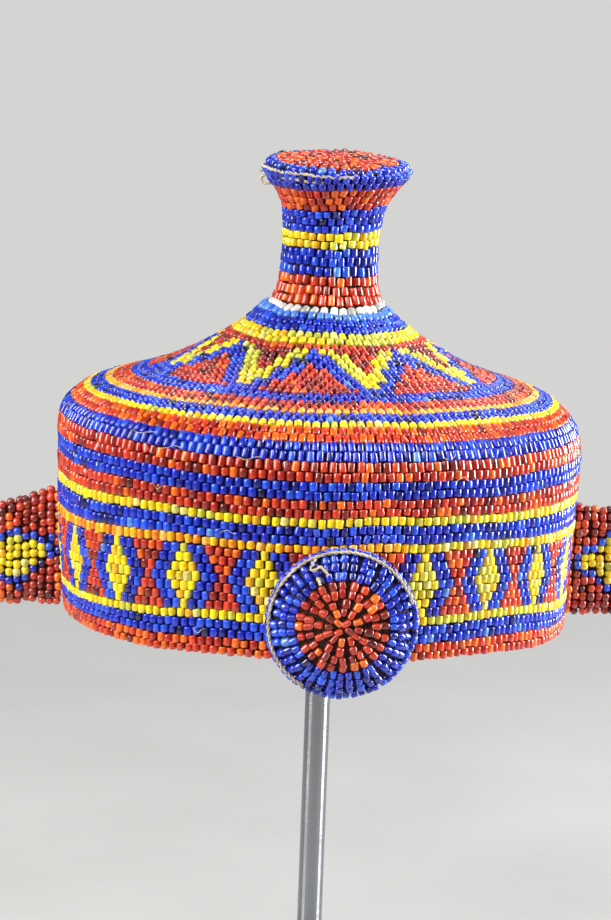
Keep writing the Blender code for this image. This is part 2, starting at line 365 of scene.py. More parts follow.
@dataclass(frozen=True)
class DrawnSteel(Finish):
    """Polished steel with the fine lines of its last pass on the machine.

    Attributes:
        lines: How fine the lines are along X, Y and Z.
        turned: True where they run round the Z axis.
        stretch: How far the lines stretch what the steel reflects along Z.
    """

    lines: tuple[float, float, float] = (25.0, 25.0, 1800.0)
    turned: bool = False
    stretch: float = 0.0
    dull: Colour = (0.36, 0.37, 0.39, 1)
    bright: Colour = (0.52, 0.53, 0.55, 1)

    def pattern(self, nodes: Nodes) -> Inputs:
        """The machine lines, smudges and faint colour changes.

        Args:
            nodes: Makes the material's nodes.

        Returns:
            What the shader's inputs take.
        """
        place = nodes.place()
        run = place
        if self.turned:
            split = nodes.add("SeparateXYZ", {0: place})
            square = nodes.math("ADD", *(nodes.math("POWER", split[part], 2.0) for part in "XY"))
            run = nodes.add("CombineXYZ", {0: nodes.math("SQRT", square), 2: split["Z"]})[0]
        drawn = nodes.add("Mapping", {"Vector": run, "Scale": self.lines})["Vector"]
        grain = nodes.noise(drawn, 1.0, 3.0)
        smudge = nodes.math("MULTIPLY", nodes.noise(place, 38.0, 3.0), 0.4)
        tone = nodes.math("ADD", nodes.math("MULTIPLY", grain, 0.6), smudge)
        found = {
            "Base Color": nodes.blend(nodes.spread(tone, 0.0, 1.0), self.dull, self.bright),
            "Roughness": nodes.spread(tone, self.roughness * 0.6, self.roughness * 1.5),
            "Normal": nodes.bump(grain, 0.2, 0.00004),
        }
        if self.stretch:
            found |= {"Anisotropic": self.stretch, "Tangent": nodes.add("CombineXYZ", {2: 1.0})[0]}
        return found


@dataclass(frozen=True)
class MattPlastic(Finish):
    """Black plastic with a fine moulded grain."""

    dark: Colour = (0.014, 0.014, 0.016, 1)
    worn: Colour = (0.045, 0.045, 0.047, 1)

    def pattern(self, nodes: Nodes) -> Inputs:
        """The grain and its worn spots.

        Args:
            nodes: Makes the material's nodes.

        Returns:
            What the shader's inputs take.
        """
        place = nodes.place()
        wear = nodes.noise(place, 90.0, 3.0)
        return {
            "Base Color": nodes.blend(nodes.spread(wear, 0.0, 1.0), self.dark, self.worn),
            "Roughness": nodes.spread(wear, 0.5, 0.7),
            "Normal": nodes.bump(nodes.noise(place, 2200.0), 0.3, 0.0001),
        }


GLASS = BeadGlass("bead_glass", 0.16)
FIBRE = PlaitedFibre("plaited_fibre", 0.8)
# Near-black fibre under the beads: painted shade that shows in the gaps between them.
SHADE_GROUND = PlaitedFibre("painted_shade_thread", 0.9, 0.0, 0.0016, (0.010, 0.007, 0.006, 1), (0.060, 0.040, 0.028, 1))
COTTON = CottonTwist("cotton_twist", 0.9)
ROD_STEEL = DrawnSteel(
    "rod_steel", 0.20, 1.0, stretch=0.9, dull=(0.25, 0.26, 0.28, 1), bright=(0.40, 0.41, 0.43, 1)
)
FOOT_STEEL = DrawnSteel("foot_steel", 0.26, 1.0, (5200.0, 1.0, 5200.0), True)
BLACK_PLASTIC = MattPlastic("black_plastic", 0.6)


def turns(count: int) -> Array:
    """Angles at even steps round a circle."""
    return np.arange(count) * TURN / count


def unit(rows: Array) -> Array:
    """The rows at a length of 1."""
    return rows / np.maximum(np.linalg.norm(rows, axis=-1, keepdims=True), 1e-12)


def eased(value: Array | float, start: float = 0.0, span: float = 1.0) -> Array:
    """How far a value has come over a span, from 0 to 1, with a gentle start and end.

    Args:
        value: The value.
        start: Where the span starts.
        span: How long it is.

    Returns:
        The share, which is 0 before the span and 1 past it.
    """
    held = np.clip((value - start) / span, 0, 1)
    return held * held * (3 - 2 * held)


def wrapped(degrees: Array) -> Array:
    """Angles from -180 to 180 degrees."""
    return (degrees + 180) % 360 - 180


def walked(path: Array) -> Array:
    """The way from the start of a path to each of its points."""
    return np.concatenate([[0], np.cumsum(np.linalg.norm(np.diff(path, axis=0), axis=1))])


def resampled(path: Array, run: Array, wanted: Array) -> Array:
    """Points at the wanted ways along a path, whose own points lie at the ways in run."""
    return np.stack([np.interp(wanted, run, path[:, part]) for part in range(3)], axis=1)


def ring_faces(rings: int, sides: int, looped: bool = False) -> Faces:
    """The faces between rings of vertices.

    Args:
        rings: How many rings there are.
        sides: How many vertices each ring has.
        looped: True if the last ring is joined to the first.

    Returns:
        The vertices of each face.
    """
    found = []
    for ring in range(rings if looped else rings - 1):
        low, high = ring * sides, (ring + 1) % rings * sides
        for side in range(sides):
            after = (side + 1) % sides
            found.append((low + side, low + after, high + after, high + side))
    return found


def end_faces(rings: int, sides: int) -> Faces:
    """The faces that close the first and the last ring."""
    return [tuple(reversed(range(sides))), tuple(range((rings - 1) * sides, rings * sides))]


def fan(ring: int, sides: int, hub: int, inward: bool) -> Faces:
    """Three-cornered faces from one ring to a vertex in its middle.

    Args:
        ring: The ring.
        sides: How many vertices it has.
        hub: The vertex in the middle.
        inward: True if they face the other way.

    Returns:
        The vertices of each face.
    """
    pairs = [(ring * sides + side, ring * sides + (side + 1) % sides) for side in range(sides)]
    return [(after, side, hub) if inward else (side, after, hub) for side, after in pairs]


def points_of(mesh: bpy.types.Mesh) -> Array:
    """Reads where a mesh's vertices are.

    Args:
        mesh: The mesh.

    Returns:
        One row of x, y and z for each vertex.
    """
    flat = np.empty(len(mesh.vertices) * 3)
    mesh.vertices.foreach_get("co", flat)
    return flat.reshape(-1, 3)


def put(name: str, mesh: bpy.types.Mesh, finish: Finish) -> bpy.types.Object:
    """Dresses a mesh and puts it into the scene.

    Args:
        name: The object's name.
        mesh: Its mesh.
        finish: The finish that it wears.

    Returns:
        The new object.
    """
    mesh.materials.append(finish.material())
    made = bpy.data.objects.new(name, mesh)
    bpy.context.scene.collection.objects.link(made)
    return made


def show(name: str, vertices: Array, faces: Faces, finish: Finish) -> bpy.types.Object:
    """Puts a smooth mesh into the scene.

    Args:
        name: The object's name.
        vertices: One row of x, y and z for each vertex.
        faces: The vertices of each face.
        finish: The finish that it wears.

    Returns:
        The new object.
    """
    mesh = bpy.data.meshes.new(name)
    mesh.from_pydata(vertices.tolist(), [], faces)
    mesh.shade_smooth()
    return put(name, mesh, finish)


def place_piece(piece: bpy.types.Object, slot: str, *nodes: str) -> None:
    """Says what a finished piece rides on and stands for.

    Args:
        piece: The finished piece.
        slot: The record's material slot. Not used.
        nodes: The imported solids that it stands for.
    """
    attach(piece, BODY)
    if nodes:
        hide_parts(*nodes)
    log.info("%s: %d faces", piece.name, len(piece.data.polygons))


@dataclass(frozen=True)
class Station:
    """One ring of rays: the solid that they meet, its centre on the axis, and how they run.

    Attributes:
        radius: How far from the axis a ray along it runs.
        lean: The direction of a bent axis here, or None where it is straight.
    """

    node: str
    centre: Vector
    cast: Cast
    radius: float = 0.0
    lean: Vector | None = None


@dataclass
class TurnedSkin:
    """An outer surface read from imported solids, by angle round it and distance along it.

    Attributes:
        places: A point for each angle and each step of distance.
        along: The unit direction of growing distance at each point.
        out: The unit direction away from the surface at each point.
        length: The whole distance from the first station to the last.
    """

    REACH = 0.25
    ANGLES = 144
    STEP = 0.0005
    SLOPE_STEPS = 3

    places: Array
    along: Array
    out: Array
    length: float

    @classmethod
    def read(cls, frame: dict, stations: list[Station], axis: Vector, front: Vector) -> "TurnedSkin":
        """Reads the surface with rays.

        Args:
            stations: The rings of rays, in order along the surface.
            axis: The direction in which the surface's axis points.
            front: The direction of angle 0.

        Returns:
            The surface.
        """
        side = axis.cross(front)
        trees = {name: cls.tree(frame["nodes"][name]) for name in {station.node for station in stations}}
        raw = np.zeros((cls.ANGLES, len(stations), 3))
        for turn, angle in enumerate(turns(cls.ANGLES)):
            outward = math.cos(angle) * front + math.sin(angle) * side
            for index, station in enumerate(stations):
                if station.cast is Cast.TOP:
                    way = -axis
                    start = station.centre + float(station.radius) * outward - cls.REACH * way
                else:
                    lean = station.lean
                    way = -outward if lean is None else -(outward - outward.dot(lean) * lean).normalized()
                    start = station.centre - cls.REACH * way
                hit = trees[station.node].ray_cast(start, way)[0]
                raw[turn, index] = hit if hit is not None else raw[turn, index - 1]
        joins = [i for i in range(1, len(stations)) if stations[i].node != stations[i - 1].node]
        return cls.laid_out(raw, joins)

    @staticmethod
    def tree(node: bpy.types.Object) -> BVHTree:
        """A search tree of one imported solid."""
        faces = [tuple(face.vertices) for face in node.data.polygons]
        return BVHTree.FromPolygons([vertex.co.copy() for vertex in node.data.vertices], faces)

    @classmethod
    def laid_out(cls, raw: Array, joins: list[int]) -> "TurnedSkin":
        """Lays rings of points out at even distances.

        Args:
            raw: A point for each angle and each station.
            joins: Stations whose distance is evened out round the surface, as the last one's is.

        Returns:
            The surface.
        """
        run = np.array([walked(line) for line in raw])
        marks = [0, *joins, run.shape[1] - 1]
        level = run[:, marks].mean(axis=0)
        even = np.linspace(0, level[-1], max(int(level[-1] / cls.STEP), 8))
        places = np.array([
            resampled(line, np.interp(way, way[marks], level), even) for line, way in zip(raw, run)
        ])
        reach = cls.SLOPE_STEPS
        ahead = np.concatenate([places[:, reach:], np.repeat(places[:, -1:], reach, axis=1)], axis=1)
        behind = np.concatenate([np.repeat(places[:, :1], reach, axis=1), places[:, :-reach]], axis=1)
        along = unit(ahead - behind)
        around = unit(np.roll(places, -reach, axis=0) - np.roll(places, reach, axis=0))
        return cls(places, along, unit(np.cross(around, along)), float(level[-1]))

    def at(self, angle: Array, distance: Array | float) -> Places:
        """Reads places on the surface.

        Args:
            angle: Angles in radians.
            distance: Distances along the surface. Past either end it goes straight on.

        Returns:
            The places, the directions along the surface and the directions out of it.
        """
        turn = np.mod(angle / TURN, 1.0) * len(self.places)
        last = self.places.shape[1] - 1
        wanted = np.broadcast_to(distance, angle.shape) / self.length * last
        step = np.clip(wanted, 0, last)
        low_turn, low_step = np.floor(turn).astype(int), np.minimum(np.floor(step).astype(int), last - 1)
        turn_share, step_share = (turn - low_turn)[:, None], (step - low_step)[:, None]
        place, along, out = (
            sum(
                grid[(low_turn + a) % len(grid), low_step + b]
                * (turn_share if a else 1 - turn_share)
                * (step_share if b else 1 - step_share)
                for a in (0, 1)
                for b in (0, 1)
            )
            for grid in (self.places, self.along, self.out)
        )
        past = ((wanted - step) / last * self.length)[:, None]
        return place + past * unit(along), unit(along), unit(out)


@dataclass(frozen=True)
class BeadShape:
    """The mesh of one bead, 1 in radius and half length, with its hole along Z.

    Attributes:
        rings: For each ring its radius, its height and how far its normal leans towards the end.
        drilled: True if its hole is cut through.
        sides: Number of flats round it.
    """

    rings: tuple[tuple[float, float, float], ...]
    drilled: bool = False
    sides: int = 10

    def turned(self, pairs: list[tuple[float, float]]) -> Array:
        """A ring of rows for each pair of a radius and a height."""
        x, y = np.cos(turns(self.sides)), np.sin(turns(self.sides))
        return np.concatenate([np.stack([r * x, r * y, np.full(self.sides, h)], axis=1) for r, h in pairs])

    def vertices(self) -> Array:
        """One row of x, y and z for each vertex."""
        return self.turned([(radius, height) for radius, height, _ in self.rings])

    def normals(self) -> Array:
        """The normal of each vertex, which keeps the side straight and the ends round."""
        leans = [math.radians(lean) for _, _, lean in self.rings]
        return self.turned([(math.cos(lean), math.sin(lean)) for lean in leans])

    def faces(self) -> Faces:
        """The vertices of each face, seen from outside."""
        ends = [] if self.drilled else end_faces(len(self.rings), self.sides)
        return ring_faces(len(self.rings), self.sides, self.drilled) + ends

    def chart(self) -> Array:
        """Lays one bead's faces out in a unit square.

        Returns:
            A place for each corner of each face.
        """
        rows, count = [], len(self.rings)
        for face in self.faces():
            levels, sides = zip(*(divmod(corner, self.sides) for corner in face))
            for level, side in zip(levels, sides):
                turn = TURN * side / self.sides
                if len(face) > 4:
                    rows.append((0.5 + 0.3 * math.cos(turn), 0.5 + 0.3 * math.sin(turn)))
                else:
                    past_side = side == 0 and self.sides - 1 in sides
                    past_ring = level == 0 and count - 1 in levels
                    rows.append((side / self.sides + past_side, level / count + past_ring))
        return np.array(rows)


CLOSED_BEAD = BeadShape(((0.80, -1.0, -58.0), (1.0, -0.82, -10.0), (1.0, 0.82, 10.0), (0.80, 1.0, 58.0)))
DRILLED_BEAD = BeadShape((*CLOSED_BEAD.rings, (0.36, 1.0, 88.0), (0.36, -1.0, -88.0)), True)
ROUND_BEAD = BeadShape(((0.58, -1.0, -58.0), (0.97, -0.55, -20.0), (0.97, 0.55, 20.0), (0.58, 1.0, 58.0)))
SOFT_BEAD = BeadShape((
    (0.60, -1.0, -62.0), (0.90, -0.84, -38.0), (1.0, -0.58, -8.0),
    (1.0, 0.58, 8.0), (0.90, 0.84, 38.0), (0.60, 1.0, 62.0),
))


@dataclass
class BeadBatch:
    """Beads that wait to be joined into one mesh.

    Attributes:
        rng: The seeded source of chance for sizes, tilts and shades.
        size_spread: How much the radius of a bead varies, as a share.
        length_spread: How much its length varies, as a share.
        tilt_spread: How much it leans in its row, in radians.
        place_spread: How far it lies from its place, in metres.
        crooked_share: How many beads sit plainly crooked.
        rows: What add() collected.
    """

    COLOUR = "bead_colour"
    CHART = "OFBake"

    rng: np.random.Generator
    size_spread: float = 0.055
    length_spread: float = 0.070
    tilt_spread: float = math.radians(3.2)
    place_spread: float = 0.00011
    crooked_share: float = 0.035
    rows: list[tuple[Array, ...]] = field(default_factory=list)

    def add(self, places: Places, radius: Array | float, half: Array | float, colour: Array) -> None:
        """Adds beads with small differences in size, place, tilt and tone.

        Args:
            places: The middle of each bead, the direction of its hole and the direction away from the work.
            radius: Its radius.
            half: Half its length.
            colour: Its colour.
        """
        middle, along, out = places
        count, normal = len(middle), self.rng.normal
        crooked = np.where(self.rng.random(count) < self.crooked_share, 4.0, 1.0)
        lean = normal(0, self.tilt_spread, count) * crooked
        nod = normal(0, self.tilt_spread * 0.8, count) * crooked
        side = unit(np.cross(along, out))
        z = unit(along + np.tan(lean)[:, None] * side + np.tan(nod)[:, None] * out)
        y = unit(out - (out * z).sum(1, keepdims=True) * z)
        scale = np.clip(normal(0.962, self.size_spread, count), 0.82, 1.05)
        stretch = np.clip(normal(0.960, self.length_spread, count), 0.76, 1.06)
        middle = middle + normal(0, self.place_spread, (count, 3))
        tone = np.clip(normal(1, 0.11, count), 0.72, 1.25)[:, None]
        axes = np.stack([np.cross(y, z), y, z], axis=1)
        self.rows.append((middle, axes, radius * scale, half * stretch, np.clip(colour * tone, 0, 1)))

    def build(self, name: str, shape: BeadShape, node: str) -> None:
        """Joins the beads into one piece.

        Args:
            name: The piece's name.
            shape: The shape of each bead.
            node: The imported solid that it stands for.
        """
        middle, axes, radius, half, colour = (np.concatenate(part) for part in zip(*self.rows))
        count, single, faces = len(middle), shape.vertices(), shape.faces()
        sizes = np.stack([radius, radius, half], axis=1)
        vertices = np.einsum("nvk,nkc->nvc", single[None] * sizes[:, None], axes) + middle[:, None]
        lean = shape.normals()[None] / sizes[:, None] * radius[:, None, None]
        normals = unit(np.einsum("nvk,nkc->nvc", lean, axes)).reshape(-1, 3)
        corners = np.concatenate([np.array(face) for face in faces])
        loops = (corners[None] + len(single) * np.arange(count)[:, None]).ravel()
        totals = np.tile([len(face) for face in faces], count)
        starts = np.concatenate([[0], np.cumsum(totals)[:-1]])
        mesh = bpy.data.meshes.new(name)
        mesh.vertices.add(count * len(single))
        mesh.vertices.foreach_set("co", vertices.astype(np.float32).ravel())
        mesh.loops.add(len(loops))
        mesh.loops.foreach_set("vertex_index", loops.astype(np.int32))
        mesh.polygons.add(len(totals))
        mesh.polygons.foreach_set("loop_start", starts.astype(np.int32))
        mesh.update(calc_edges=True)
        rgba = np.ones((count, len(single), 4), np.float32)
        rgba[:, :, :3] = colour[:, None]
        mesh.attributes.new(self.COLOUR, "FLOAT_COLOR", "POINT").data.foreach_set("color", rgba.ravel())
        self.lay_chart(mesh, shape.chart(), count)
        mesh.shade_smooth()
        mesh.normals_split_custom_set_from_vertices(normals.astype(np.float32))
        place_piece(put(name, mesh, GLASS), "beadwork", node)

    def lay_chart(self, mesh: bpy.types.Mesh, single: Array, count: int) -> None:
        """Gives each bead a square of its own on the mesh's map.

        Args:
            mesh: The mesh of all the beads.
            single: One bead's places in a unit square.
            count: How many beads there are.
        """
        across = math.ceil(math.sqrt(count))
        cell = np.stack(np.divmod(np.arange(count), across)[::-1], axis=1)
        spots = (cell[:, None] + 0.06 + 0.88 * single[None]) / across
        mesh.uv_layers.new(name=self.CHART).uv.foreach_set("vector", spots.astype(np.float32).ravel())


@dataclass
class BeadedCap:
    """The drum, the cone and the finial's neck, beaded in rings from the rim up.

    Attributes:
        CHART: A letter of PAINTS for each row, from the rim up.
        LINES: Where some rows run, between which the others are spaced evenly. Each has its number, its
            distance from the rim at the front, how much nearer the rim it runs at the sides and the back,
            how much it is pushed up above the boss, and how much farther it runs on the right.
        PIECES: The first row of each piece and the one after its last, its name and the solid it stands for.
        WALL_ROWS, ROOF_ROWS: The rows at which the wall ends and the roof ends.
        sag_arc: The angle from the front at which the rows start to sag, and the degrees over which they do.
        back_arc: The same for where they rise again, by back_share of their sag.
        boss_angle, boss_arc: The middle of the hump over the boss and how far to each side it reaches.
        warp: How far the wall's beads are out of step at warp_angle. It fades over warp_arc degrees.
        widest: The largest radius of a bead as a share of the pitch.
        sunk: How far under the surface the middle of a bead lies.
        wave: How far a row strays from its line.
        limy_arc: The angles at which the many lime beads start and end, each with the degrees over which
            their share grows or falls.
        limy_share: How many of the beads are lime between them.
        lozenge_rows: How many beads of yellow the lozenge's middle row has, and how many blue ones edge it.
        red_half: Half a triangle's red in its lowest row in beads, and what each row above takes off.
        blue_half: The same with its blue edges.
        yellow_edge: The width of its yellow edge in its lowest row, and what each row above adds.
        short_triangle: The angle of the triangle whose red starts higher, how far round that reaches, and
            by how many rows.
        boss_room: The radius round the boss in which the wall has no beads.
        arm_room: How far inside an arm's faces and its edges the wall's beads end.
        arm_start: How far from the axis the wall passes behind the arms.
    """

    CHART = "FFBBY" "LLLLLLL" "ABBY" "RRBBRRBBFF" "YBBPRRBB" "TTTTTTTTTT" "RMMBBSW" "FFFBBBYYBBBFFFBB"
    LINES = (
        (-0.5, 0.0, 0, 0, 0), (4, 0.0140, 0.0034, 0, 0), (12, 0.0390, 0.0032, 0.0014, 0),
        (15, 0.0482, 0.0014, 0.0013, 0), (17, 0.0544, 0.0008, 0.0006, 0), (20, 0.0638, 0, 0, 0),
        (23, 0.0746, 0, 0, 0), (26, 0.0846, 0.0012, 0.0011, 0), (29, 0.0931, 0.0010, 0.0011, 0),
        (34, 0.1091, 0, 0.0018, 0), (44, 0.1366, -0.0016, 0, 0), (48, 0.1492, -0.0012, 0, 0),
        (50, 0.1552, -0.0026, 0, 0), (51, 0.1598, 0, 0, 0), (53, 0.1667, 0, 0, 0), (55, 0.1738, 0, 0, 0.0004),
        (58, 0.1830, 0, 0, 0.0010), (61, 0.1921, 0, 0, 0.0016), (63, 0.1977, 0, 0, 0.0019),
        (65, 0.2043, 0, 0, 0.0017), (66, 0.2074, 0, 0, 0.0009),
    )
    PIECES = (
        (0, 5, "rim_border_beads", "side_wall"), (5, 12, "lozenge_band_beads", "side_wall"),
        (12, 19, "middle_stripe_beads", "side_wall"), (19, 26, "shoulder_stripe_beads", "side_wall"),
        (26, 34, "roof_stripe_beads", "roof"), (34, 44, "roof_triangle_beads", "roof"),
        (44, 51, "roof_collar_beads", "roof"), (51, 67, "finial_neck_beads", "finial_neck"),
    )
    WALL_ROWS = 26
    ROOF_ROWS = 51

    frame: dict
    pitch: float = 0.00307
    neck_pitch: float = 0.00318
    wall_count: int = 189
    lozenges: int = 21
    repeats: int = 8
    triangle_axis: float = math.radians(-8.7)
    bead_gap: float = 0.00012
    tallest_row: float = 0.0040
    neck_shift: float = 0.0010
    neck_end: float = 0.963
    neck_foot: float = 0.0222
    sag_arc: tuple[float, float] = (30.0, 45.0)
    back_arc: tuple[float, float] = (100.0, 60.0)
    back_share: float = 0.5
    boss_angle: float = 9.0
    boss_arc: float = 12.0
    warp: float = math.radians(2.6)
    warp_angle: float = -12.0
    warp_arc: float = 65.0
    widest: float = 0.53
    sunk: float = 0.0015
    wave: float = 0.00009
    limy_arc: tuple[tuple[float, float], tuple[float, float]] = ((4.0, 8.0), (150.0, 20.0))
    limy_share: float = 0.85
    lozenge_rows: tuple[int, int] = (4, 2)
    red_half: tuple[float, float] = (5.6, 0.80)
    blue_half: tuple[float, float] = (7.6, 0.77)
    yellow_edge: tuple[float, float] = (1.2, 0.11)
    short_triangle: tuple[float, float, int] = (-75.0, 9.0, 2)
    boss_room: float = 0.0155
    arm_room: tuple[float, float] = (0.0020, 0.0035)
    arm_start: float = 0.08

    def __post_init__(self) -> None:
        """Reads the surface that the beads lie on."""
        self.rng = np.random.default_rng(41)
        self.waves = self.rng.normal(size=(12, 2))
        self.axis_x = sum(corner.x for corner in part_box("boss_neck")) / 2
        self.rim, self.seam = (corner.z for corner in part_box("side_wall"))
        self.skin = TurnedSkin.read(self.frame, self.stations(), UP, FRONT)
        log.info("cap surface is %.1f mm long", self.skin.length / MM)

    def stations(self) -> list[Station]:
        """Rings of rays from the rim over the shoulder and the cone to the finial's top.

        Returns:
            The rings in order.
        """
        step = 0.0008
        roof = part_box("roof")[1]
        cap_low, cap_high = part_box("finial_cap")
        foot = Vector((self.axis_x + self.neck_shift, 0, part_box("finial_neck")[0].z))
        lean = (cap_low + cap_high) / 2 - foot
        rings = [
            Station("side_wall", Vector((self.axis_x, 0, height)), Cast.SIDE)
            for height in np.arange(self.rim + 0.0001, self.seam - 0.0002, step)
        ]
        rings += [
            Station("roof", Vector((self.axis_x, 0, roof.z)), Cast.TOP, radius)
            for radius in np.arange(roof.y - 0.0005, self.neck_foot, -step)
        ]
        for height in np.arange(foot.z + 0.0003, foot.z + self.neck_end * lean.z, step):
            share = float((height - foot.z) / lean.z)
            centre = foot + Vector((share * share * lean.x, share * share * lean.y, share * lean.z))
            bend = Vector((2 * share * lean.x, 2 * share * lean.y, lean.z)).normalized()
            rings.append(Station("finial_neck", centre, Cast.SIDE, 0.0, bend))
        return rings

    def distance(self, row: float, angle: Array) -> Array:
        """How far from the rim a row runs, with its sag, its lift, its tilt and its waves.

        Args:
            row: The row, counted from the rim.
            angle: Angles in radians.

        Returns:
            The distance at each angle.
        """
        signed = wrapped(np.degrees(angle))
        degrees = np.abs(signed)
        side = eased(degrees, *self.sag_arc) * (1 - self.back_share * eased(degrees, *self.back_arc))
        hump = eased(1 - np.abs(signed - self.boss_angle) / self.boss_arc)
        lines = np.array([*self.LINES, (len(self.CHART) - 0.5, self.skin.length, 0, 0, 0)])
        front, sag, lift, tilt = (np.interp(row, lines[:, 0], lines[:, part]) for part in (1, 2, 3, 4))
        found = front - sag * side + lift * hump + tilt * np.sin(angle)
        if 0 < row < len(self.CHART) - 1:
            for order, (size, phase) in enumerate(self.waves, 3):
                found = found + self.wave * size * np.cos(order * angle + 3 * phase + 0.3 * row)
        return found

    def count(self, row: int) -> int:
        """Counts the beads that fit into a row.

        Args:
            row: The row, counted from the rim.

        Returns:
            How many beads it holds.
        """
        if row < self.WALL_ROWS:
            return self.wall_count
        place, _, out = self.skin.at(turns(PROBES), self.distance(row, turns(PROBES)))
        inner = place - out * self.pitch / 2
        around = TURN * np.linalg.norm((inner - inner.mean(axis=0))[:, :2], axis=1).mean()
        if row < self.ROOF_ROWS:
            return self.repeats * round(around / self.repeats / self.pitch)
        return round(around / self.neck_pitch)

    def colours(self, row: int, spot: Array, count: int) -> Array:
        """Colours one row.

        Args:
            row: The row, counted from the rim.
            spot: Each bead's place in the row, counted in beads from the front.
            count: How many beads the row holds.

        Returns:
            One colour for each bead.
        """
        letter = self.CHART[row]
        paint, step = PAINTS[letter], row - self.CHART.index(letter)
        angle = wrapped(spot / count * 360)
        if paint is Motif.LOZENGES:
            return self.lozenge_colours(step, spot, angle)
        if paint is Motif.TRIANGLES:
            return self.triangle_colours(step, spot, count)
        found = paint.draw(self.rng, len(spot))
        if row < self.WALL_ROWS and paint in (Mix.YELLOW, Mix.AMBER):
            found = Mix.LIME.over(self.rng, found, self.limy(angle))
        return found

    def limy(self, angle: Array) -> Array:
        """Draws which beads of the wall's yellow strings are lime: many, from the boss to the right.

        Args:
            angle: Each bead's angle in degrees.

        Returns:
            True for each lime bead.
        """
        (start, rise), (end, fall) = self.limy_arc
        share = np.clip((angle - start) / rise, 0, 1) * np.clip((end - angle) / fall, 0, 1)
        return self.rng.random(len(angle)) < self.limy_share * share

    def lozenge_colours(self, step: int, spot: Array, angle: Array) -> Array:
        """The lozenges: as wide as four beads in their middle row, with two blue beads on each side.

        Args:
            step: The row in the band.
            spot: Each bead's place in the row.
            angle: Its angle in degrees.

        Returns:
            One colour for each bead.
        """
        period, (widest, edge) = self.wall_count / self.lozenges, self.lozenge_rows
        off = np.abs((spot + period / 2) % period - period / 2)
        half = (widest - abs(step - widest + 1)) / 2
        found = Mix.RED.draw(self.rng, len(spot))
        found = Mix.BLUE.over(self.rng, found, off < half + edge)
        yellow = Mix.YELLOW.draw(self.rng, len(spot))
        yellow = Mix.LIME.over(self.rng, yellow, self.limy(angle))
        return np.where((off < half)[:, None], yellow, found)

    def triangle_colours(self, step: int, spot: Array, count: int) -> Array:
        """The cone's triangles, which narrow by less than a bead on each side from row to row.

        Args:
            step: The row in the band.
            spot: Each bead's place in the row.
            count: How many beads the row holds.

        Returns:
            One colour for each bead.
        """
        period = count / self.repeats
        middle = self.triangle_axis / TURN * count
        off = np.abs(spot - middle - np.round((spot - middle) / period) * period)
        red, blue = (half - less * step for half, less in (self.red_half, self.blue_half))
        edge, more = self.yellow_edge
        turn, reach, rows = self.short_triangle
        short_tip = (np.abs(wrapped(spot / count * 360 - turn)) < reach) & (step < rows)
        found = Mix.BRICK.draw(self.rng, len(spot))
        found = Mix.LIME.over(self.rng, found, off < blue + edge + more * step)
        found = Mix.BLUE.over(self.rng, found, off < blue)
        found = Mix.RED.over(self.rng, found, off < red)
        return Mix.BLUE.over(self.rng, found, short_tip)

    def add_row(self, batch: BeadBatch, row: int) -> None:
        """Adds one row of beads.

        Args:
            batch: Where they are collected.
            row: The row, counted from the rim.
        """
        count = self.count(row)
        spot = np.arange(count) + (0.0 if row % 2 else 0.5)
        angle = spot / count * TURN
        if row < self.WALL_ROWS:
            off = wrapped(np.degrees(angle) - self.warp_angle)
            angle = angle + self.warp * (1 + np.cos(math.pi * np.clip(off / self.warp_arc, -1, 1))) / 2
        distance = self.distance(row, angle)
        gap = np.abs(self.distance(row + 0.5, angle) - self.distance(row - 0.5, angle))
        half = (np.minimum(gap, self.tallest_row) - self.bead_gap) / 2
        place, along, out = self.skin.at(angle, distance)
        neighbour = self.skin.at(angle + TURN / count, distance)[0]
        shrink = 1 - self.sunk / np.linalg.norm(place[:, :2] - np.array([self.axis_x, 0]), axis=1)
        width = np.linalg.norm(neighbour - place, axis=1) * shrink
        radius = np.minimum(width / 2 - self.bead_gap / 4, self.pitch * self.widest)
        keep = ~self.covered(place)
        middle = place - out * radius[:, None]
        colour = self.colours(row, spot, count)
        batch.add((middle[keep], along[keep], out[keep]), radius[keep], half[keep], colour[keep])

    def covered(self, place: Array) -> Array:
        """Finds where the boss or an arm covers the wall, which needs no beads there.

        Args:
            place: Places on the wall.

        Returns:
            True for each place that is covered.
        """
        low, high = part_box("boss_neck")
        off = np.hypot(place[:, 0] - (low.x + high.x) / 2, place[:, 2] - (low.z + high.z) / 2)
        hidden = (off < self.boss_room) & (place[:, 1] < 0)
        room, section = np.array(self.arm_room), place[:, 1:]
        for arm, side in (("left_arm", -1), ("right_arm", 1)):
            low, high = (np.array(corner)[1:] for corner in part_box(arm))
            within = ((section > low + room) & (section < high - room)).all(axis=1)
            hidden |= within & (side * (place[:, 0] - self.axis_x) > self.arm_start)
        return hidden

    def build(self) -> None:
        """Builds the rows in pieces of a few bands each."""
        for first, last, name, node in self.PIECES:
            batch = BeadBatch(self.rng)
            for row in range(first, last):
                self.add_row(batch, row)
            shape = DRILLED_BEAD if first == 0 else SOFT_BEAD if node == "roof" else CLOSED_BEAD
            batch.build(name, shape, node)


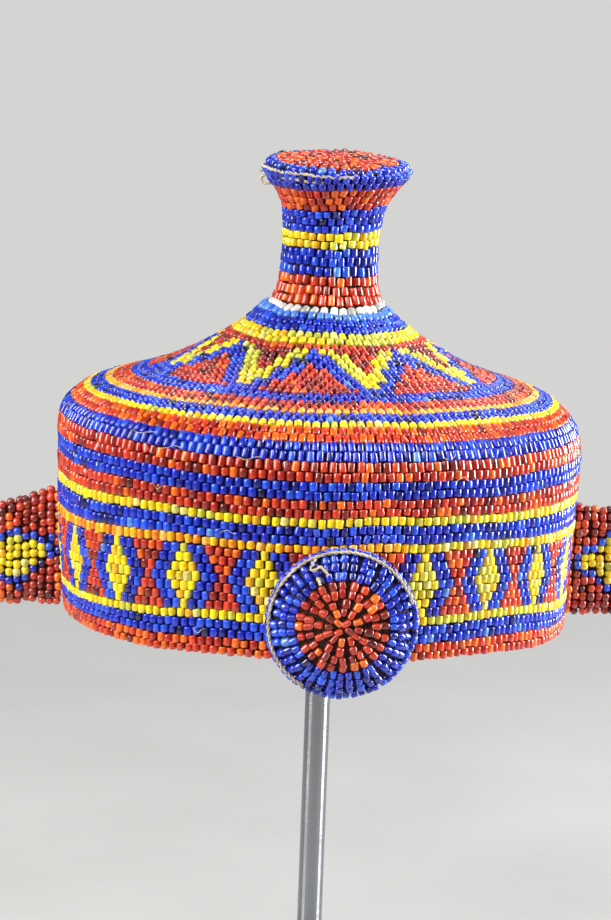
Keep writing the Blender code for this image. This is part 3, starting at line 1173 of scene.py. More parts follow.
@dataclass
class Foundation:
    """The plaited fibre under the beads of the drum and the cone, open below, near-black outside as painted
    shade between the beads.
    """

    LAY = "lay"

    cap: BeadedCap
    outer_depth: float = 0.0024
    inner_depth: float = 0.0044
    last_row: float = 50.4
    ring_step: float = 0.0016
    sides: int = 108
    coil: float = 0.0042
    coil_depth: float = 0.00030

    def rings(self, depth: float, ridged: bool) -> Array:
        """Rings of points under the beads.

        Args:
            depth: How far under them.
            ridged: True for the ridges of the coils.

        Returns:
            The rings from the rim up.
        """
        end = self.cap.distance(self.last_row, np.zeros(1))[0]
        angle, rows = turns(self.sides), []
        for distance in np.linspace(0.0004, end, int(end / self.ring_step)):
            place, _, out = self.cap.skin.at(angle, distance)
            ridge = self.coil_depth * np.abs(np.sin(math.pi * (angle / TURN + distance / self.coil)))[:, None]
            rows.append(place - out * (depth - ridge * ridged))
        return np.array(rows)

    def build(self) -> None:
        """Builds the shell from its outer and inner rings."""
        outer = self.rings(self.outer_depth, False)
        inner = self.rings(self.inner_depth, True)[::-1]
        rings = np.concatenate([outer, inner])
        hubs = np.array([outer[-1].mean(axis=0), inner[0].mean(axis=0)])
        sides, hub, crown = self.sides, rings.shape[0] * self.sides, len(outer) - 1
        faces = ring_faces(len(rings), sides, True)
        del faces[crown * sides : (crown + 1) * sides]
        faces += fan(crown + 1, sides, hub + 1, True) + fan(crown, sides, hub, False)
        piece = show("cap_foundation", np.concatenate([rings.reshape(-1, 3), hubs]), faces, FIBRE)
        # The outer faces take the near-black fibre: painted shade in the gaps between the beads.
        piece.data.materials.append(SHADE_GROUND.material())
        outside = np.zeros(len(faces), np.int32)
        outside[: crown * sides] = 1
        outside[-sides:] = 1
        piece.data.polygons.foreach_set("material_index", outside)
        lay_round(piece.data, Vector((self.cap.axis_x, 0, self.cap.rim)), WALL_RADIUS)
        place_piece(piece, "fibre_backing", "side_wall", "roof")


def lay_round(mesh: bpy.types.Mesh, centre: Vector, radius: float) -> None:
    """Gives a mesh a map in metres, by angle round a vertical axis and by height and distance from it.

    Args:
        mesh: The mesh.
        centre: A point on the axis.
        radius: The radius at which an angle is measured.
    """
    corners = np.zeros(len(mesh.loops), np.int32)
    mesh.loops.foreach_get("vertex_index", corners)
    places = points_of(mesh) - np.array(centre)
    angle = np.arctan2(places[:, 0], -places[:, 1])
    reach = np.hypot(places[:, 0], places[:, 1])
    totals = np.zeros(len(mesh.polygons), np.int32)
    mesh.polygons.foreach_get("loop_total", totals)
    first = corners[np.concatenate([[0], np.cumsum(totals)[:-1]])]
    turn, base = angle[corners], np.repeat(angle[first], totals)
    turn = turn + TURN * ((base - turn > math.pi).astype(float) - (turn - base > math.pi))
    spots = np.stack([turn * radius, (places[:, 2] - reach)[corners]], axis=1)
    mesh.uv_layers.new(name=Foundation.LAY).uv.foreach_set("vector", spots.astype(np.float32).ravel())


def show_core(name: str, rings: Array, hubs: list[Array], faces: Faces, node: str) -> None:
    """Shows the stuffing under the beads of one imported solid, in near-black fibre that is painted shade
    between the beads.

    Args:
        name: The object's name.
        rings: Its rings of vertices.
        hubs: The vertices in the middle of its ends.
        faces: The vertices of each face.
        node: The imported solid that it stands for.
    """
    vertices = rings.reshape(-1, 3)
    piece = show(name, np.concatenate([vertices, *([hub] for hub in hubs)]), faces, SHADE_GROUND)
    lay_round(piece.data, Vector(vertices.mean(axis=0)), CORE_RADIUS)
    place_piece(piece, "fibre_backing", node)


@dataclass
class Spool:
    """A core under beads: a closed turned body that follows a skin from one distance to another."""

    name: str
    skin: TurnedSkin
    start: float
    end: float
    depth: float = 0.0024
    step: float = 0.0012
    sides: int = 72

    def build(self, node: str) -> None:
        """Builds the core.

        Args:
            node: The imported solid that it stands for.
        """
        rings = []
        for distance in np.linspace(self.start, self.end, max(int((self.end - self.start) / self.step), 2)):
            place, _, out = self.skin.at(turns(self.sides), distance)
            rings.append(place - out * self.depth)
        hub = len(rings) * self.sides
        faces = ring_faces(len(rings), self.sides) + fan(0, self.sides, hub, True)
        faces += fan(len(rings) - 1, self.sides, hub + 1, False)
        hubs = [rings[0].mean(axis=0), rings[-1].mean(axis=0)]
        show_core(self.name, np.array(rings), hubs, faces, node)


@dataclass
class BeadedDisc:
    """A domed disc covered in rings of beads that lie along its radius.

    Attributes:
        node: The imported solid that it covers.
        name: The first word of its pieces' names.
        axis: The direction in which it faces.
        front: The direction of angle 0 round it.
        blue_rings: How many of its outer rings are blue.
        rim_room: How far its outer ring stays inside the solid's edge.
        uneven: How much some beads sit higher than others.
    """

    frame: dict
    node: str
    name: str
    axis: Vector
    front: Vector
    blue_rings: int
    seed: int
    rim_room: float = 0.0004
    pitch: float = 0.00300
    uneven: float = 0.00010
    smallest: float = 0.00112
    shape: BeadShape = SOFT_BEAD

    def __post_init__(self) -> None:
        """Reads the disc's surface."""
        self.rng = np.random.default_rng(self.seed)
        low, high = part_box(self.node)
        self.centre = (low + high) / 2
        self.radius = sorted(high - low)[1] / 2
        rings = [
            Station(self.node, self.centre, Cast.TOP, radius)
            for radius in np.arange(self.radius - 0.0004, 0.0003, -0.0005)
        ]
        self.skin = TurnedSkin.read(self.frame, rings, self.axis, self.front)

    def build(self) -> None:
        """Builds the rings and the backing under them."""
        batch = BeadBatch(self.rng, 0.06, 0.09, math.radians(6), 0.00018)
        rings = round((self.skin.length - self.rim_room) / self.pitch)
        pitch = (self.skin.length - self.rim_room) / rings
        first = 0
        while first < rings:
            group = min(self.blue_rings if first == 0 else 2, rings - first)
            mean = self.radius - self.rim_room - (first + group / 2) * pitch
            count = max(round(TURN * mean / self.pitch), 4)
            strands = (np.arange(count) + self.rng.normal(0, 0.05, count) + 0.37 * first) / count * TURN
            for ring in range(first, first + group):
                middle = self.rim_room + (ring + 0.5) * pitch
                angle = strands + self.rng.normal(0, 0.03 * TURN / count, count)
                place, along, out = self.skin.at(angle, middle)
                width = min(TURN * (self.radius - middle) / count, self.pitch)
                radius = max(width * 0.485, self.smallest)
                lift = self.rng.normal(0, self.uneven, count) - radius * 0.95
                mix = Mix.BLUE if ring < self.blue_rings else Mix.RED
                colour = mix.draw(self.rng, count)
                batch.add((place + out * lift[:, None], along, out), radius, pitch / 2, colour)
            first += group
        batch.build(self.name + "_disc_beads", self.shape, self.node)
        end = self.skin.length * 0.985
        Spool(self.name + "_disc_backing", self.skin, 0.0004, end, 0.0014, 0.002).build(self.node)


@dataclass
class BossSpool:
    """The beaded spool that holds the boss's disc off the wall, with a letter of PAINTS for each row."""

    CHART = "BBFFYFFBB"

    frame: dict
    pitch: float = 0.00310
    room: float = 0.0012
    gap: float = 0.00012

    def build(self) -> None:
        """Builds the spool's rings of beads and its core."""
        rng = np.random.default_rng(77)
        low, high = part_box("boss_neck")
        centre = (low + high) / 2
        rings = [
            Station("boss_neck", Vector((centre.x, place, centre.z)), Cast.SIDE)
            for place in np.arange(-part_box("side_wall")[1].y - 0.0004, low.y + 0.0002, -0.0008)
        ]
        skin = TurnedSkin.read(self.frame, rings, FRONT, UP)
        pitch = (skin.length - self.room) / len(self.CHART)
        batch = BeadBatch(rng)
        for row, letter in enumerate(self.CHART):
            middle = (row + 0.5) * pitch
            place, _, out = skin.at(turns(PROBES), middle)
            inner = place - out * self.pitch / 2
            around = TURN * np.linalg.norm(inner - inner.mean(axis=0), axis=1).mean()
            count = round(around / self.pitch)
            angle = (np.arange(count) + 0.5 * (row % 2)) / count * TURN
            place, along, out = skin.at(angle, middle)
            radius = around / count / 2 - self.gap / 4
            colour = PAINTS[letter].draw(rng, count)
            batch.add((place - out * radius, along, out), radius, (pitch - self.gap) / 2, colour)
        batch.build("boss_neck_beads", CLOSED_BEAD, "boss_neck")
        Spool("boss_core", skin, 0.0, skin.length - 0.0004).build("boss_neck")


@dataclass
class Edging:
    """Small beads strung round the edge of a disc, and the cotton cord sewn on beside them.

    Attributes:
        disc: The disc that they edge.
        reach: The radius of the spool's rim below it.
        cord_arc: Where the cord shows, from one angle to another in degrees round the disc.
        tails: Loose runs of the cord, as points with an angle, a drop below the edge and a step out from it.
        laid: Runs that lie on the disc, as points with an angle and a distance from its edge.
        beaded: False where the disc's own outer beads are its edge.
    """

    disc: BeadedDisc
    reach: float
    cord_arc: tuple[float, float]
    tails: tuple[tuple[tuple[float, float, float], ...], ...] = ()
    laid: tuple[tuple[tuple[float, float], ...], ...] = ()
    beaded: bool = True
    bead_radius: float = 0.00120
    bead_half: float = 0.00118
    cord_radius: float = 0.00056
    bead_drop: float = 0.0011
    cord_lift: float = 0.0005

    def circle(self, angle: Array, radius: float, lift: float) -> Places:
        """Places round the disc's edge.

        Args:
            angle: Angles in radians.
            radius: How far from the axis.
            lift: How far above the disc's lower face, along its axis.

        Returns:
            The places, the directions round the edge and the directions out of it.
        """
        axis, front, centre = (np.array(v) for v in (self.disc.axis, self.disc.front, self.disc.centre))
        side = np.cross(axis, front)
        cosine, sine = np.cos(angle)[:, None], np.sin(angle)[:, None]
        out = cosine * front + sine * side
        edge = self.disc.skin.at(angle, 0.0)[0]
        middle = centre + ((edge - centre) @ axis)[:, None] * axis
        return middle + radius * out + lift * axis, cosine * side - sine * front, out

    def build(self) -> None:
        """Builds the small beads and the cord."""
        axis = np.array(self.disc.axis)
        radius = self.reach - self.bead_radius * 0.95
        if self.beaded:
            count = round(TURN * radius / (2 * self.bead_half + 0.00012))
            rng = np.random.default_rng(self.disc.seed + 5)
            batch = BeadBatch(rng, 0.06, 0.05, math.radians(5), 0.00008, 0.0)
            places = self.circle(turns(count), radius, -self.bead_drop)
            batch.add(places, self.bead_radius, self.bead_half, Mix.BLUE.draw(rng, count))
            batch.build(self.disc.name + "_edge_beads", SOFT_BEAD, self.disc.node)
        start, end = self.cord_arc
        turn = np.radians(np.linspace(start, end, max(int(abs(end - start) / 2), 8)))
        sway = 0.00016 * np.sin(9 * turn) + 0.00010 * np.sin(23 * turn)
        runs = [self.circle(turn, radius - 0.0001, self.cord_lift)[0] + sway[:, None] * axis]
        for tail in self.tails:
            turn, drop, step = np.array(tail).T
            path, _, out = self.circle(np.radians(turn), radius, 0.0)
            runs.append(path + step[:, None] * out - drop[:, None] * axis)
        for points in self.laid:
            turn, inward = np.array(points).T
            path, _, out = self.disc.skin.at(np.radians(turn), inward)
            runs.append(path + 0.00035 * out)
        place_piece(twisted_cord(self.disc.name + "_cord", runs, self.cord_radius), "cream_cord")


def across(path: Array) -> tuple[Array, Array]:
    """Two directions at right angles to a path at each of its points."""
    normal = unit(np.cross(unit(np.gradient(path, axis=0)), np.array([0.31, 0.17, 0.94])))
    return normal, np.cross(unit(np.gradient(path, axis=0)), normal)


def tubes(name: str, paths: list[Array], radius: float, sides: int) -> bpy.types.Object:
    """Closed cotton tubes along paths, joined into one object.

    Args:
        name: The object's name.
        paths: The points of each tube's middle line.
        radius: The tubes' radius.
        sides: Number of flats round them.

    Returns:
        The new object.
    """
    vertices, faces, count = [], [], 0
    cosine, sine = np.cos(turns(sides))[None, :, None], np.sin(turns(sides))[None, :, None]
    for path in paths:
        normal, other = across(path)
        round_it = cosine * normal[:, None] + sine * other[:, None]
        vertices.append((path[:, None] + radius * round_it).reshape(-1, 3))
        sheet = ring_faces(len(path), sides) + end_faces(len(path), sides)
        faces += [tuple(corner + count for corner in face) for face in sheet]
        count += len(path) * sides
    return show(name, np.concatenate(vertices), faces, COTTON)


def smooth_path(points: Array, step: float) -> Array:
    """Rounds a path off.

    Args:
        points: A few points that it runs through.
        step: The distance between the points wanted.

    Returns:
        Points at even steps.
    """
    ends = np.concatenate([[2 * points[0] - points[1]], points, [2 * points[-1] - points[-2]]])
    found = []
    for index in range(1, len(ends) - 2):
        a, b, c, d = ends[index - 1 : index + 3]
        for share in np.arange(0, 1, 0.125):
            square, cube = (2 * a - 5 * b + 4 * c - d) * share**2, (3 * b - a - 3 * c + d) * share**3
            found.append(0.5 * (2 * b + (c - a) * share + square + cube))
    found = np.array(found + [points[-1]])
    run = walked(found)
    return resampled(found, run, np.linspace(0, run[-1], max(int(run[-1] / step), 4)))


def twisted_cord(name: str, runs: list[Array], radius: float, plies: int = 2) -> bpy.types.Object:
    """A cord of plies that twist round each other.

    Args:
        name: The object's name.
        runs: The points of each stretch's middle line.
        radius: The cord's radius.
        plies: How many plies.

    Returns:
        The new object.
    """
    lines = []
    for run in runs:
        path = smooth_path(run, radius * 0.55)
        normal, other = across(path)
        for ply in range(plies):
            twist = (TURN * walked(path) / (radius * 7.5) + TURN * ply / plies)[:, None]
            lines.append(path + radius * 0.48 * (np.cos(twist) * normal + np.sin(twist) * other))
    return tubes(name, lines, radius * 0.56, 6)


@dataclass
class StrayThreads:
    """Ends and loops of thread that show between the beads.

    Attributes:
        BITS: The distance from the rim of each bit, its first angle, its span and how high it stands.
        TUFTS: The distance from the rim of each tuft, its angle and its height.
    """

    BITS = (
        (0.0728, -47.0, 9.0, 0.9), (0.0692, -38.0, 7.0, 0.7), (0.0690, -21.0, 8.0, 0.8),
        (0.0552, -40.0, 4.0, 0.8), (0.0433, -24.0, 5.0, 0.8), (0.0700, 21.0, 6.0, 0.6),
        (0.0623, 24.0, 5.0, 0.7), (0.0260, -35.0, 4.0, 0.7), (0.0080, -30.0, 4.0, 0.7),
        (0.0110, 96.0, 6.0, 0.8), (0.0700, 140.0, 8.0, 0.8), (0.0340, -128.0, 5.0, 0.9),
    )
    TUFTS = ((0.1165, -5.0, 0.0022), (0.1380, 60.0, 0.0024), (0.1290, 66.0, 0.0018), (0.1180, -120.0, 0.0022))

    cap: BeadedCap
    radius: float = 0.00011

    def build(self) -> None:
        """Builds the bits along the rows and the tufts that stand up from the cone."""
        rng = np.random.default_rng(9)
        runs = []
        for distance, start, span, lift in self.BITS:
            angle = np.radians(start + span * 0.7 * np.linspace(0, 1, 9) + rng.normal(0, 0.16, 9))
            bow = np.sin(np.linspace(0, math.pi, 9))
            sway = 0.0007 * np.sin(np.linspace(0, rng.uniform(3, 8), 9) + rng.uniform(0, 6))
            place, _, out = self.cap.skin.at(angle, distance + sway)
            runs.append(place + out * ((lift * bow - 0.7) * 0.0006)[:, None])
        for distance, turn, height in self.TUFTS:
            place, along, out = self.cap.skin.at(np.full(6, math.radians(turn)), distance)
            share = np.linspace(-0.2, 1, 6)[:, None]
            sway = rng.normal(0, 0.35, 3)
            runs.append(place + height * (share * out + share**2 * (sway * along + 0.3 * sway[::-1])))
        paths = [smooth_path(run, 0.0004) for run in runs]
        place_piece(tubes("stray_threads", paths, self.radius, 5), "cream_cord")


@dataclass
class SideArm:
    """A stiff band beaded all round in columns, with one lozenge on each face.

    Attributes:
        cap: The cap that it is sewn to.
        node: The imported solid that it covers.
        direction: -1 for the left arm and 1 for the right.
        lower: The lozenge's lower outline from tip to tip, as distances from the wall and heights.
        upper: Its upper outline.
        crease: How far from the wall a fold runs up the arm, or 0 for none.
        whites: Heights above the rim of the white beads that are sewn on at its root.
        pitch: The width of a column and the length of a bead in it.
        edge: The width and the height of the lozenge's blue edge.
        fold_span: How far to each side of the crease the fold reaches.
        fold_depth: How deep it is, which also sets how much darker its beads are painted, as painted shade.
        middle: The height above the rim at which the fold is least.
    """

    cap: BeadedCap
    node: str
    direction: int
    lower: tuple[tuple[float, float], ...]
    upper: tuple[tuple[float, float], ...]
    seed: int
    crease: float = 0.0
    whites: tuple[float, ...] = ()
    pitch: float = 0.00300
    edge: tuple[float, float] = (0.0036, 0.0034)
    fold_span: float = 0.0040
    fold_depth: float = 0.0011
    middle: float = 0.0165
    root: float = 0.0006
    core_depth: float = 0.0022
    core_sides: int = 40

    def __post_init__(self) -> None:
        """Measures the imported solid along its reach."""
        self.rng = np.random.default_rng(self.seed)
        tree = TurnedSkin.tree(self.cap.frame["nodes"][self.node])
        low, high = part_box(self.node)
        near, far = (low.x, high.x) if self.direction > 0 else (-high.x, -low.x)
        shift = self.direction * self.cap.axis_x
        self.wall, self.end = near - shift, far - shift
        self.reaches = np.arange(self.wall + 0.0032, self.end - 0.0002, 0.001)
        measured = []
        for reach in self.reaches:
            x, margin = self.x(reach), 0.05
            top = tree.ray_cast(Vector((x, 0, high.z + margin)), -UP)[0].z
            bottom = tree.ray_cast(Vector((x, 0, low.z - margin)), UP)[0].z
            face = tree.ray_cast(Vector((x, -margin, (low.z + high.z) / 2)), -FRONT)[0].y
            measured.append((top, bottom, -face))
        self.measured = np.array(measured)

    def x(self, reach: float) -> float:
        """The X of a distance from the cap's axis."""
        return self.cap.axis_x + self.direction * reach

    def section(self, reach: float) -> list[float]:
        """The upper edge, the lower edge and half the thickness at a distance from the axis."""
        return [float(np.interp(reach, self.reaches, self.measured[:, part])) for part in range(3)]

    def outline(self, reach: float, depth: float) -> tuple[float, float, float, Array, Array]:
        """The arm's section, which is thick in the middle and thin towards both edges.

        Args:
            reach: How far from the axis.
            depth: How far under the surface.

        Returns:
            Its middle height, half its height, half its thickness, angles round it, and the way walked
            at each.
        """
        top, bottom, half = self.section(reach)
        tall, wide = (top - bottom) / 2 - depth, half - depth
        turn = np.linspace(-math.pi / 2, math.pi * 1.5, 241)
        thick, high = wide * np.cos(turn) * np.sqrt(1 + np.sin(turn) ** 2), tall * np.sin(turn)
        steps = np.hypot(np.diff(thick), np.diff(high))
        return (top + bottom) / 2, tall, wide, turn, np.concatenate([[0], np.cumsum(steps)])

    def ring(self, reach: float, depth: float, shares: Array) -> Places:
        """Places round the arm at a distance from the axis.

        Args:
            reach: How far from the axis.
            depth: How far under the surface.
            shares: Shares of the way round, from the middle of the lower edge up the front.

        Returns:
            The places, the directions round the arm and the directions out of it.
        """
        level, tall, wide, turn, run = self.outline(reach, depth)
        angle = np.interp(np.mod(shares, 1.0) * run[-1], run, turn)
        sine, cosine = np.sin(angle), np.cos(angle)
        bulge = np.sqrt(1 + sine**2)
        flat = np.zeros(len(shares))
        place = np.stack([flat + self.x(reach), -wide * cosine * bulge, level + tall * sine], axis=1)
        along = unit(np.stack([flat, wide * sine * (bulge - cosine**2 / bulge), tall * cosine], axis=1))
        return place, along, np.stack([flat, -along[:, 2], along[:, 1]], axis=1)

    def within(self, far: float, height: Array, grow: float, rise: float) -> Array:
        """Finds the beads of one column inside the lozenge.

        Args:
            far: How far from the wall the column stands.
            height: The height of each bead above the rim.
            grow: How much longer the lozenge is taken at its tips.
            rise: How much taller between them.

        Returns:
            True for each bead inside.
        """
        inner, outer = self.lower[0][0] - grow, self.lower[-1][0] + grow
        edges = []
        for line, sign in ((np.array(self.lower), -1), (np.array(self.upper), 1)):
            taller = sign * rise * np.array([0, *[1] * (len(line) - 2), 0])
            edges.append(np.interp(far, [inner, *line[1:-1, 0], outer], line[:, 1] + taller))
        return (inner < far < outer) & (height > edges[0]) & (height < edges[1])

    def colours(self, reach: float, height: Array) -> Array:
        """Colours one column: the lozenge, its blue edge and the red around it.

        Args:
            reach: How far from the axis it stands.
            height: The height of each bead above the rim.

        Returns:
            One colour for each bead.
        """
        far = reach - self.wall
        found = Mix.RED.draw(self.rng, len(height))
        found = Mix.BLUE.over(self.rng, found, self.within(far, height, *self.edge))
        return Mix.YELLOW.over(self.rng, found, self.within(far, height, 0.0, 0.0))

    def build(self) -> None:
        """Builds the arm's columns, its end and the core inside."""
        batch = BeadBatch(self.rng, 0.07, 0.08, math.radians(7), 0.00026, 0.05)
        first, last = self.wall + self.root, self.end - 0.0008
        columns = round((last - first) / self.pitch)
        pitch = (last - first) / columns
        radius = pitch * 0.54
        for column in range(columns):
            reach = first + (column + 0.4) * pitch
            whole = self.outline(reach, radius)[4][-1]
            length = self.pitch * (1.0 + 0.06 * max(1 - column / 3, 0))
            count = 2 * round(whole / length / 2)
            shares = (np.arange(count) + self.rng.normal(0, 0.05)) / count
            place, along, out = self.ring(reach, radius, shares)
            height = place[:, 2] - self.cap.rim
            near = 1 - abs(reach - self.wall - self.crease) / self.fold_span
            fold = self.fold_depth * eased(near) if self.crease else 0.0
            sunk = (fold * eased(np.abs(height - self.middle) / 0.011 - 0.35))[:, None]
            # Beads sunk in the fold are also painted darker by their depth: painted shade in the crease.
            colour = self.colours(reach, height) * (1 - 420 * sunk)
            batch.add((place - out * sunk, along, out), radius, whole / count / 2 + 0.00005, colour)
        self.close_end(batch, pitch)
        for height in self.whites:
            half = self.section(first)[2]
            place = np.array([[self.x(self.wall + 0.0004), -half - 0.0004, self.cap.rim + height]])
            way = (np.array([[0.6, 0.0, 0.8]]), np.array([[0.0, -1.0, 0.0]]))
            batch.add((place, *way), 0.00125, 0.0012, Mix.WHITE.draw(self.rng, 1))
        batch.build(self.node + "_beads", ROUND_BEAD, self.node)
        self.build_core()

    def close_end(self, batch: BeadBatch, pitch: float) -> None:
        """Adds the column of beads that closes the outer end.

        Args:
            batch: Where they are collected.
            pitch: The width of a column.
        """
        top, bottom, _ = self.section(self.end)
        count = round((top - bottom - 0.004) / self.pitch)
        height = np.linspace(bottom + 0.003, top - 0.003, count)
        place = np.stack([np.full(count, self.x(self.end - pitch * 0.5)), np.zeros(count), height], axis=1)
        along = np.tile([0.0, 0.0, 1.0], (count, 1))
        out = np.tile([float(self.direction), 0.0, 0.0], (count, 1))
        colour = Mix.RED.draw(self.rng, count)
        batch.add((place, along, out), pitch * 0.5, (height[1] - height[0]) / 2, colour)

    def build_core(self) -> None:
        """Builds the stiff fibre core under the beads."""
        shares, count = np.arange(self.core_sides) / self.core_sides, 18
        rings = [
            self.ring(reach, self.core_depth, shares)[0]
            for reach in np.linspace(self.wall + self.root, self.end - self.core_depth, count)
        ]
        faces = ring_faces(count, self.core_sides) + end_faces(count, self.core_sides)
        if self.direction > 0:
            faces = [tuple(reversed(face)) for face in faces]
        show_core(self.node + "_core", np.array(rings), [], faces, self.node)


@dataclass
class DisplayStand:
    """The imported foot, rod and head of the stand, with their finishes."""

    frame: dict

    def build(self) -> None:
        """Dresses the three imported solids."""
        for node, finish, slot in (
            ("stand_base", FOOT_STEEL, "polished_steel"),
            ("stand_rod", ROD_STEEL, "polished_steel"),
            ("stand_head", BLACK_PLASTIC, "stand_support"),
        ):
            solid = self.frame["nodes"][node]
            solid.data.materials.clear()
            solid.data.materials.append(finish.material())
            log.info("%s wears %s", node, finish.name)


@dataclass
class PhotoCamera:
    """The camera of the photograph, placed from the rim's centre.

    Attributes:
        distance: How far it stands from the headdress's axis.
        height: How high it is above the rim.
        azimuth: How far to the left it stands, in degrees.
        pitch: How far it looks down, in degrees.
        roll: How far the picture is turned clockwise, in degrees.
        yaw: How far it looks to the left of the axis, in degrees.
        focal: Its focal length as a share of the picture's height.
    """

    distance: float = 0.870
    height: float = 0.1964
    azimuth: float = 4.298
    pitch: float = 9.335
    roll: float = 2.1
    yaw: float = 0.32
    focal: float = 2388 / 920
    sensor: float = 36.0

    def build(self, axis_x: float, rim: float) -> None:
        """Makes the camera and gives it to the scene.

        Args:
            axis_x: Where the headdress's axis stands.
            rim: The height of its rim.
        """
        angles = (self.azimuth, self.azimuth - self.yaw, self.pitch, self.roll)
        side, heading, down, turn = (math.radians(angle) for angle in angles)
        away = self.distance * Vector((-math.sin(side), -math.cos(side), 0))
        place = Vector((axis_x, 0, rim + self.height)) + away
        level = Vector((math.cos(heading), -math.sin(heading), 0))
        flat = Vector((math.sin(heading), math.cos(heading), 0))
        ahead = flat * math.cos(down) - UP * math.sin(down)
        rise = level.cross(ahead)
        right = level * math.cos(turn) + rise * math.sin(turn)
        up = rise * math.cos(turn) - level * math.sin(turn)
        data = bpy.data.cameras.new("photo_camera")
        data.sensor_width = self.sensor
        data.lens = self.focal * self.sensor
        data.clip_start, data.clip_end = 0.05, 60.0
        camera = bpy.data.objects.new("photo_camera", data)
        camera.matrix_world = Matrix.Translation(place) @ Matrix((right, up, -ahead)).transposed().to_4x4()
        bpy.context.scene.collection.objects.link(camera)
        bpy.context.scene.camera = camera


@dataclass(frozen=True)
class SoftLight:
    """An area light that faces the headdress.

    Attributes:
        azimuth: Degrees round the headdress from its front towards +X.
        elevation: Degrees above it.
        distance: How far away it stands.
        size: Its width and height.
        power: Its power in watts.
    """

    name: str
    azimuth: float
    elevation: float
    distance: float
    size: tuple[float, float]
    power: float
    colour: tuple[float, float, float] = (1.0, 1.0, 1.0)

    def build(self, target: Vector) -> None:
        """Adds the light.

        Args:
            target: What it faces.
        """
        data = bpy.data.lights.new(self.name, "AREA")
        data.shape = "RECTANGLE"
        data.size, data.size_y = self.size
        data.energy = self.power
        data.color = self.colour
        turn, rise = math.radians(self.azimuth), math.radians(self.elevation)
        away = Vector((math.sin(turn) * math.cos(rise), -math.cos(turn) * math.cos(rise), math.sin(rise)))
        lamp = bpy.data.objects.new(self.name, data)
        lamp.location = target + self.distance * away
        lamp.rotation_euler = away.to_track_quat("Z", "Y").to_euler()
        bpy.context.scene.collection.objects.link(lamp)


@dataclass
class Studio:
    """A pale floor under soft light, with a strip light on the right as in the photograph."""

    LIGHTS = (
        SoftLight("left_softbox", -66, 24, 1.35, (0.6, 1.2), 27.0, (1.0, 0.985, 0.96)),
        SoftLight("right_strip", 84, 12, 1.10, (0.46, 1.1), 36.0),
        SoftLight("front_fill", -18, 40, 1.7, (1.0, 0.9), 8.0, (1.0, 0.98, 0.95)),
        SoftLight("top_panel", 150, 62, 1.5, (1.0, 1.0), 9.0, (0.98, 0.99, 1.0)),
    )

    target: Vector
    floor_radius: float = 30.0
    floor_sides: int = 96
    floor_dark: Colour = (0.40, 0.40, 0.395, 1)
    floor_light: Colour = (0.44, 0.44, 0.435, 1)
    air: Colour = (0.66, 0.66, 0.65, 1)
    indirect: float = 0.26

    def build(self) -> None:
        """Builds the floor, the air and the lights."""
        self.build_floor()
        self.build_air()
        for light in self.LIGHTS:
            light.build(self.target)
        bpy.context.scene.view_settings.view_transform = "Standard"

    def air_strength(self, nodes: Nodes) -> Socket:
        """The air's strength, less for what lights and reflects than for what is seen."""
        return nodes.spread(nodes.add("LightPath")["Is Camera Ray"], self.indirect, 1.0, (0.0, 1.0))

    def build_floor(self) -> None:
        """Builds a round floor that fades into the air far away."""
        turn = turns(self.floor_sides)
        rim = np.stack([np.sin(turn), np.cos(turn), 0 * turn], axis=1) * self.floor_radius
        sheet = [tuple(reversed(range(self.floor_sides)))]
        floor = show("studio_floor", rim, sheet, Finish("studio_floor", 0.65))
        nodes = Nodes(floor.data.materials[0].node_tree)
        shader = nodes.tree.nodes["Principled BSDF"]
        place = nodes.place()
        tone = nodes.spread(nodes.noise(place, 9.0, 4.0), 0.0, 1.0)
        nodes.give(shader, {"Base Color": nodes.blend(tone, self.floor_dark, self.floor_light)})
        far = nodes.add("VectorMath", {0: place}, operation="LENGTH")["Value"]
        share = nodes.spread(far, 0.0, 1.0, (0.30, 1.15))
        glow = nodes.add("Emission", {"Color": self.air, "Strength": self.air_strength(nodes)})[0]
        both = nodes.add("MixShader", {0: share, 1: shader.outputs[0], 2: glow})[0]
        nodes.give(nodes.tree.nodes["Material Output"], {"Surface": both})

    def build_air(self) -> None:
        """Gives the air its colour and its strength."""
        world = bpy.data.worlds.new("studio_air")
        world.use_nodes = True
        bpy.context.scene.world = world
        nodes = Nodes(world.node_tree)
        backdrop = {"Color": self.air, "Strength": self.air_strength(nodes)}
        nodes.give(world.node_tree.nodes["Background"], backdrop)


@dataclass(frozen=True)
class Droop:
    """How far the wall sinks on one side.

    Attributes:
        side: -1 on the left and 1 on the right.
        depth: How far it sinks.
        start: How far from the axis it starts to.
        span: Over how much farther out it reaches its depth.
        top: The height above the rim from which nothing sinks.
        fade: How much lower it sinks in full.
    """

    side: int
    depth: float
    start: float
    span: float
    top: float
    fade: float

    def sink(self, off: Array, height: Array) -> Array:
        """How far places sink, by their distance from the axis and their height above the rim."""
        outward = eased(self.side * off, self.start, self.span)
        return self.depth * outward * eased(self.top - height, 0.0, self.fade)


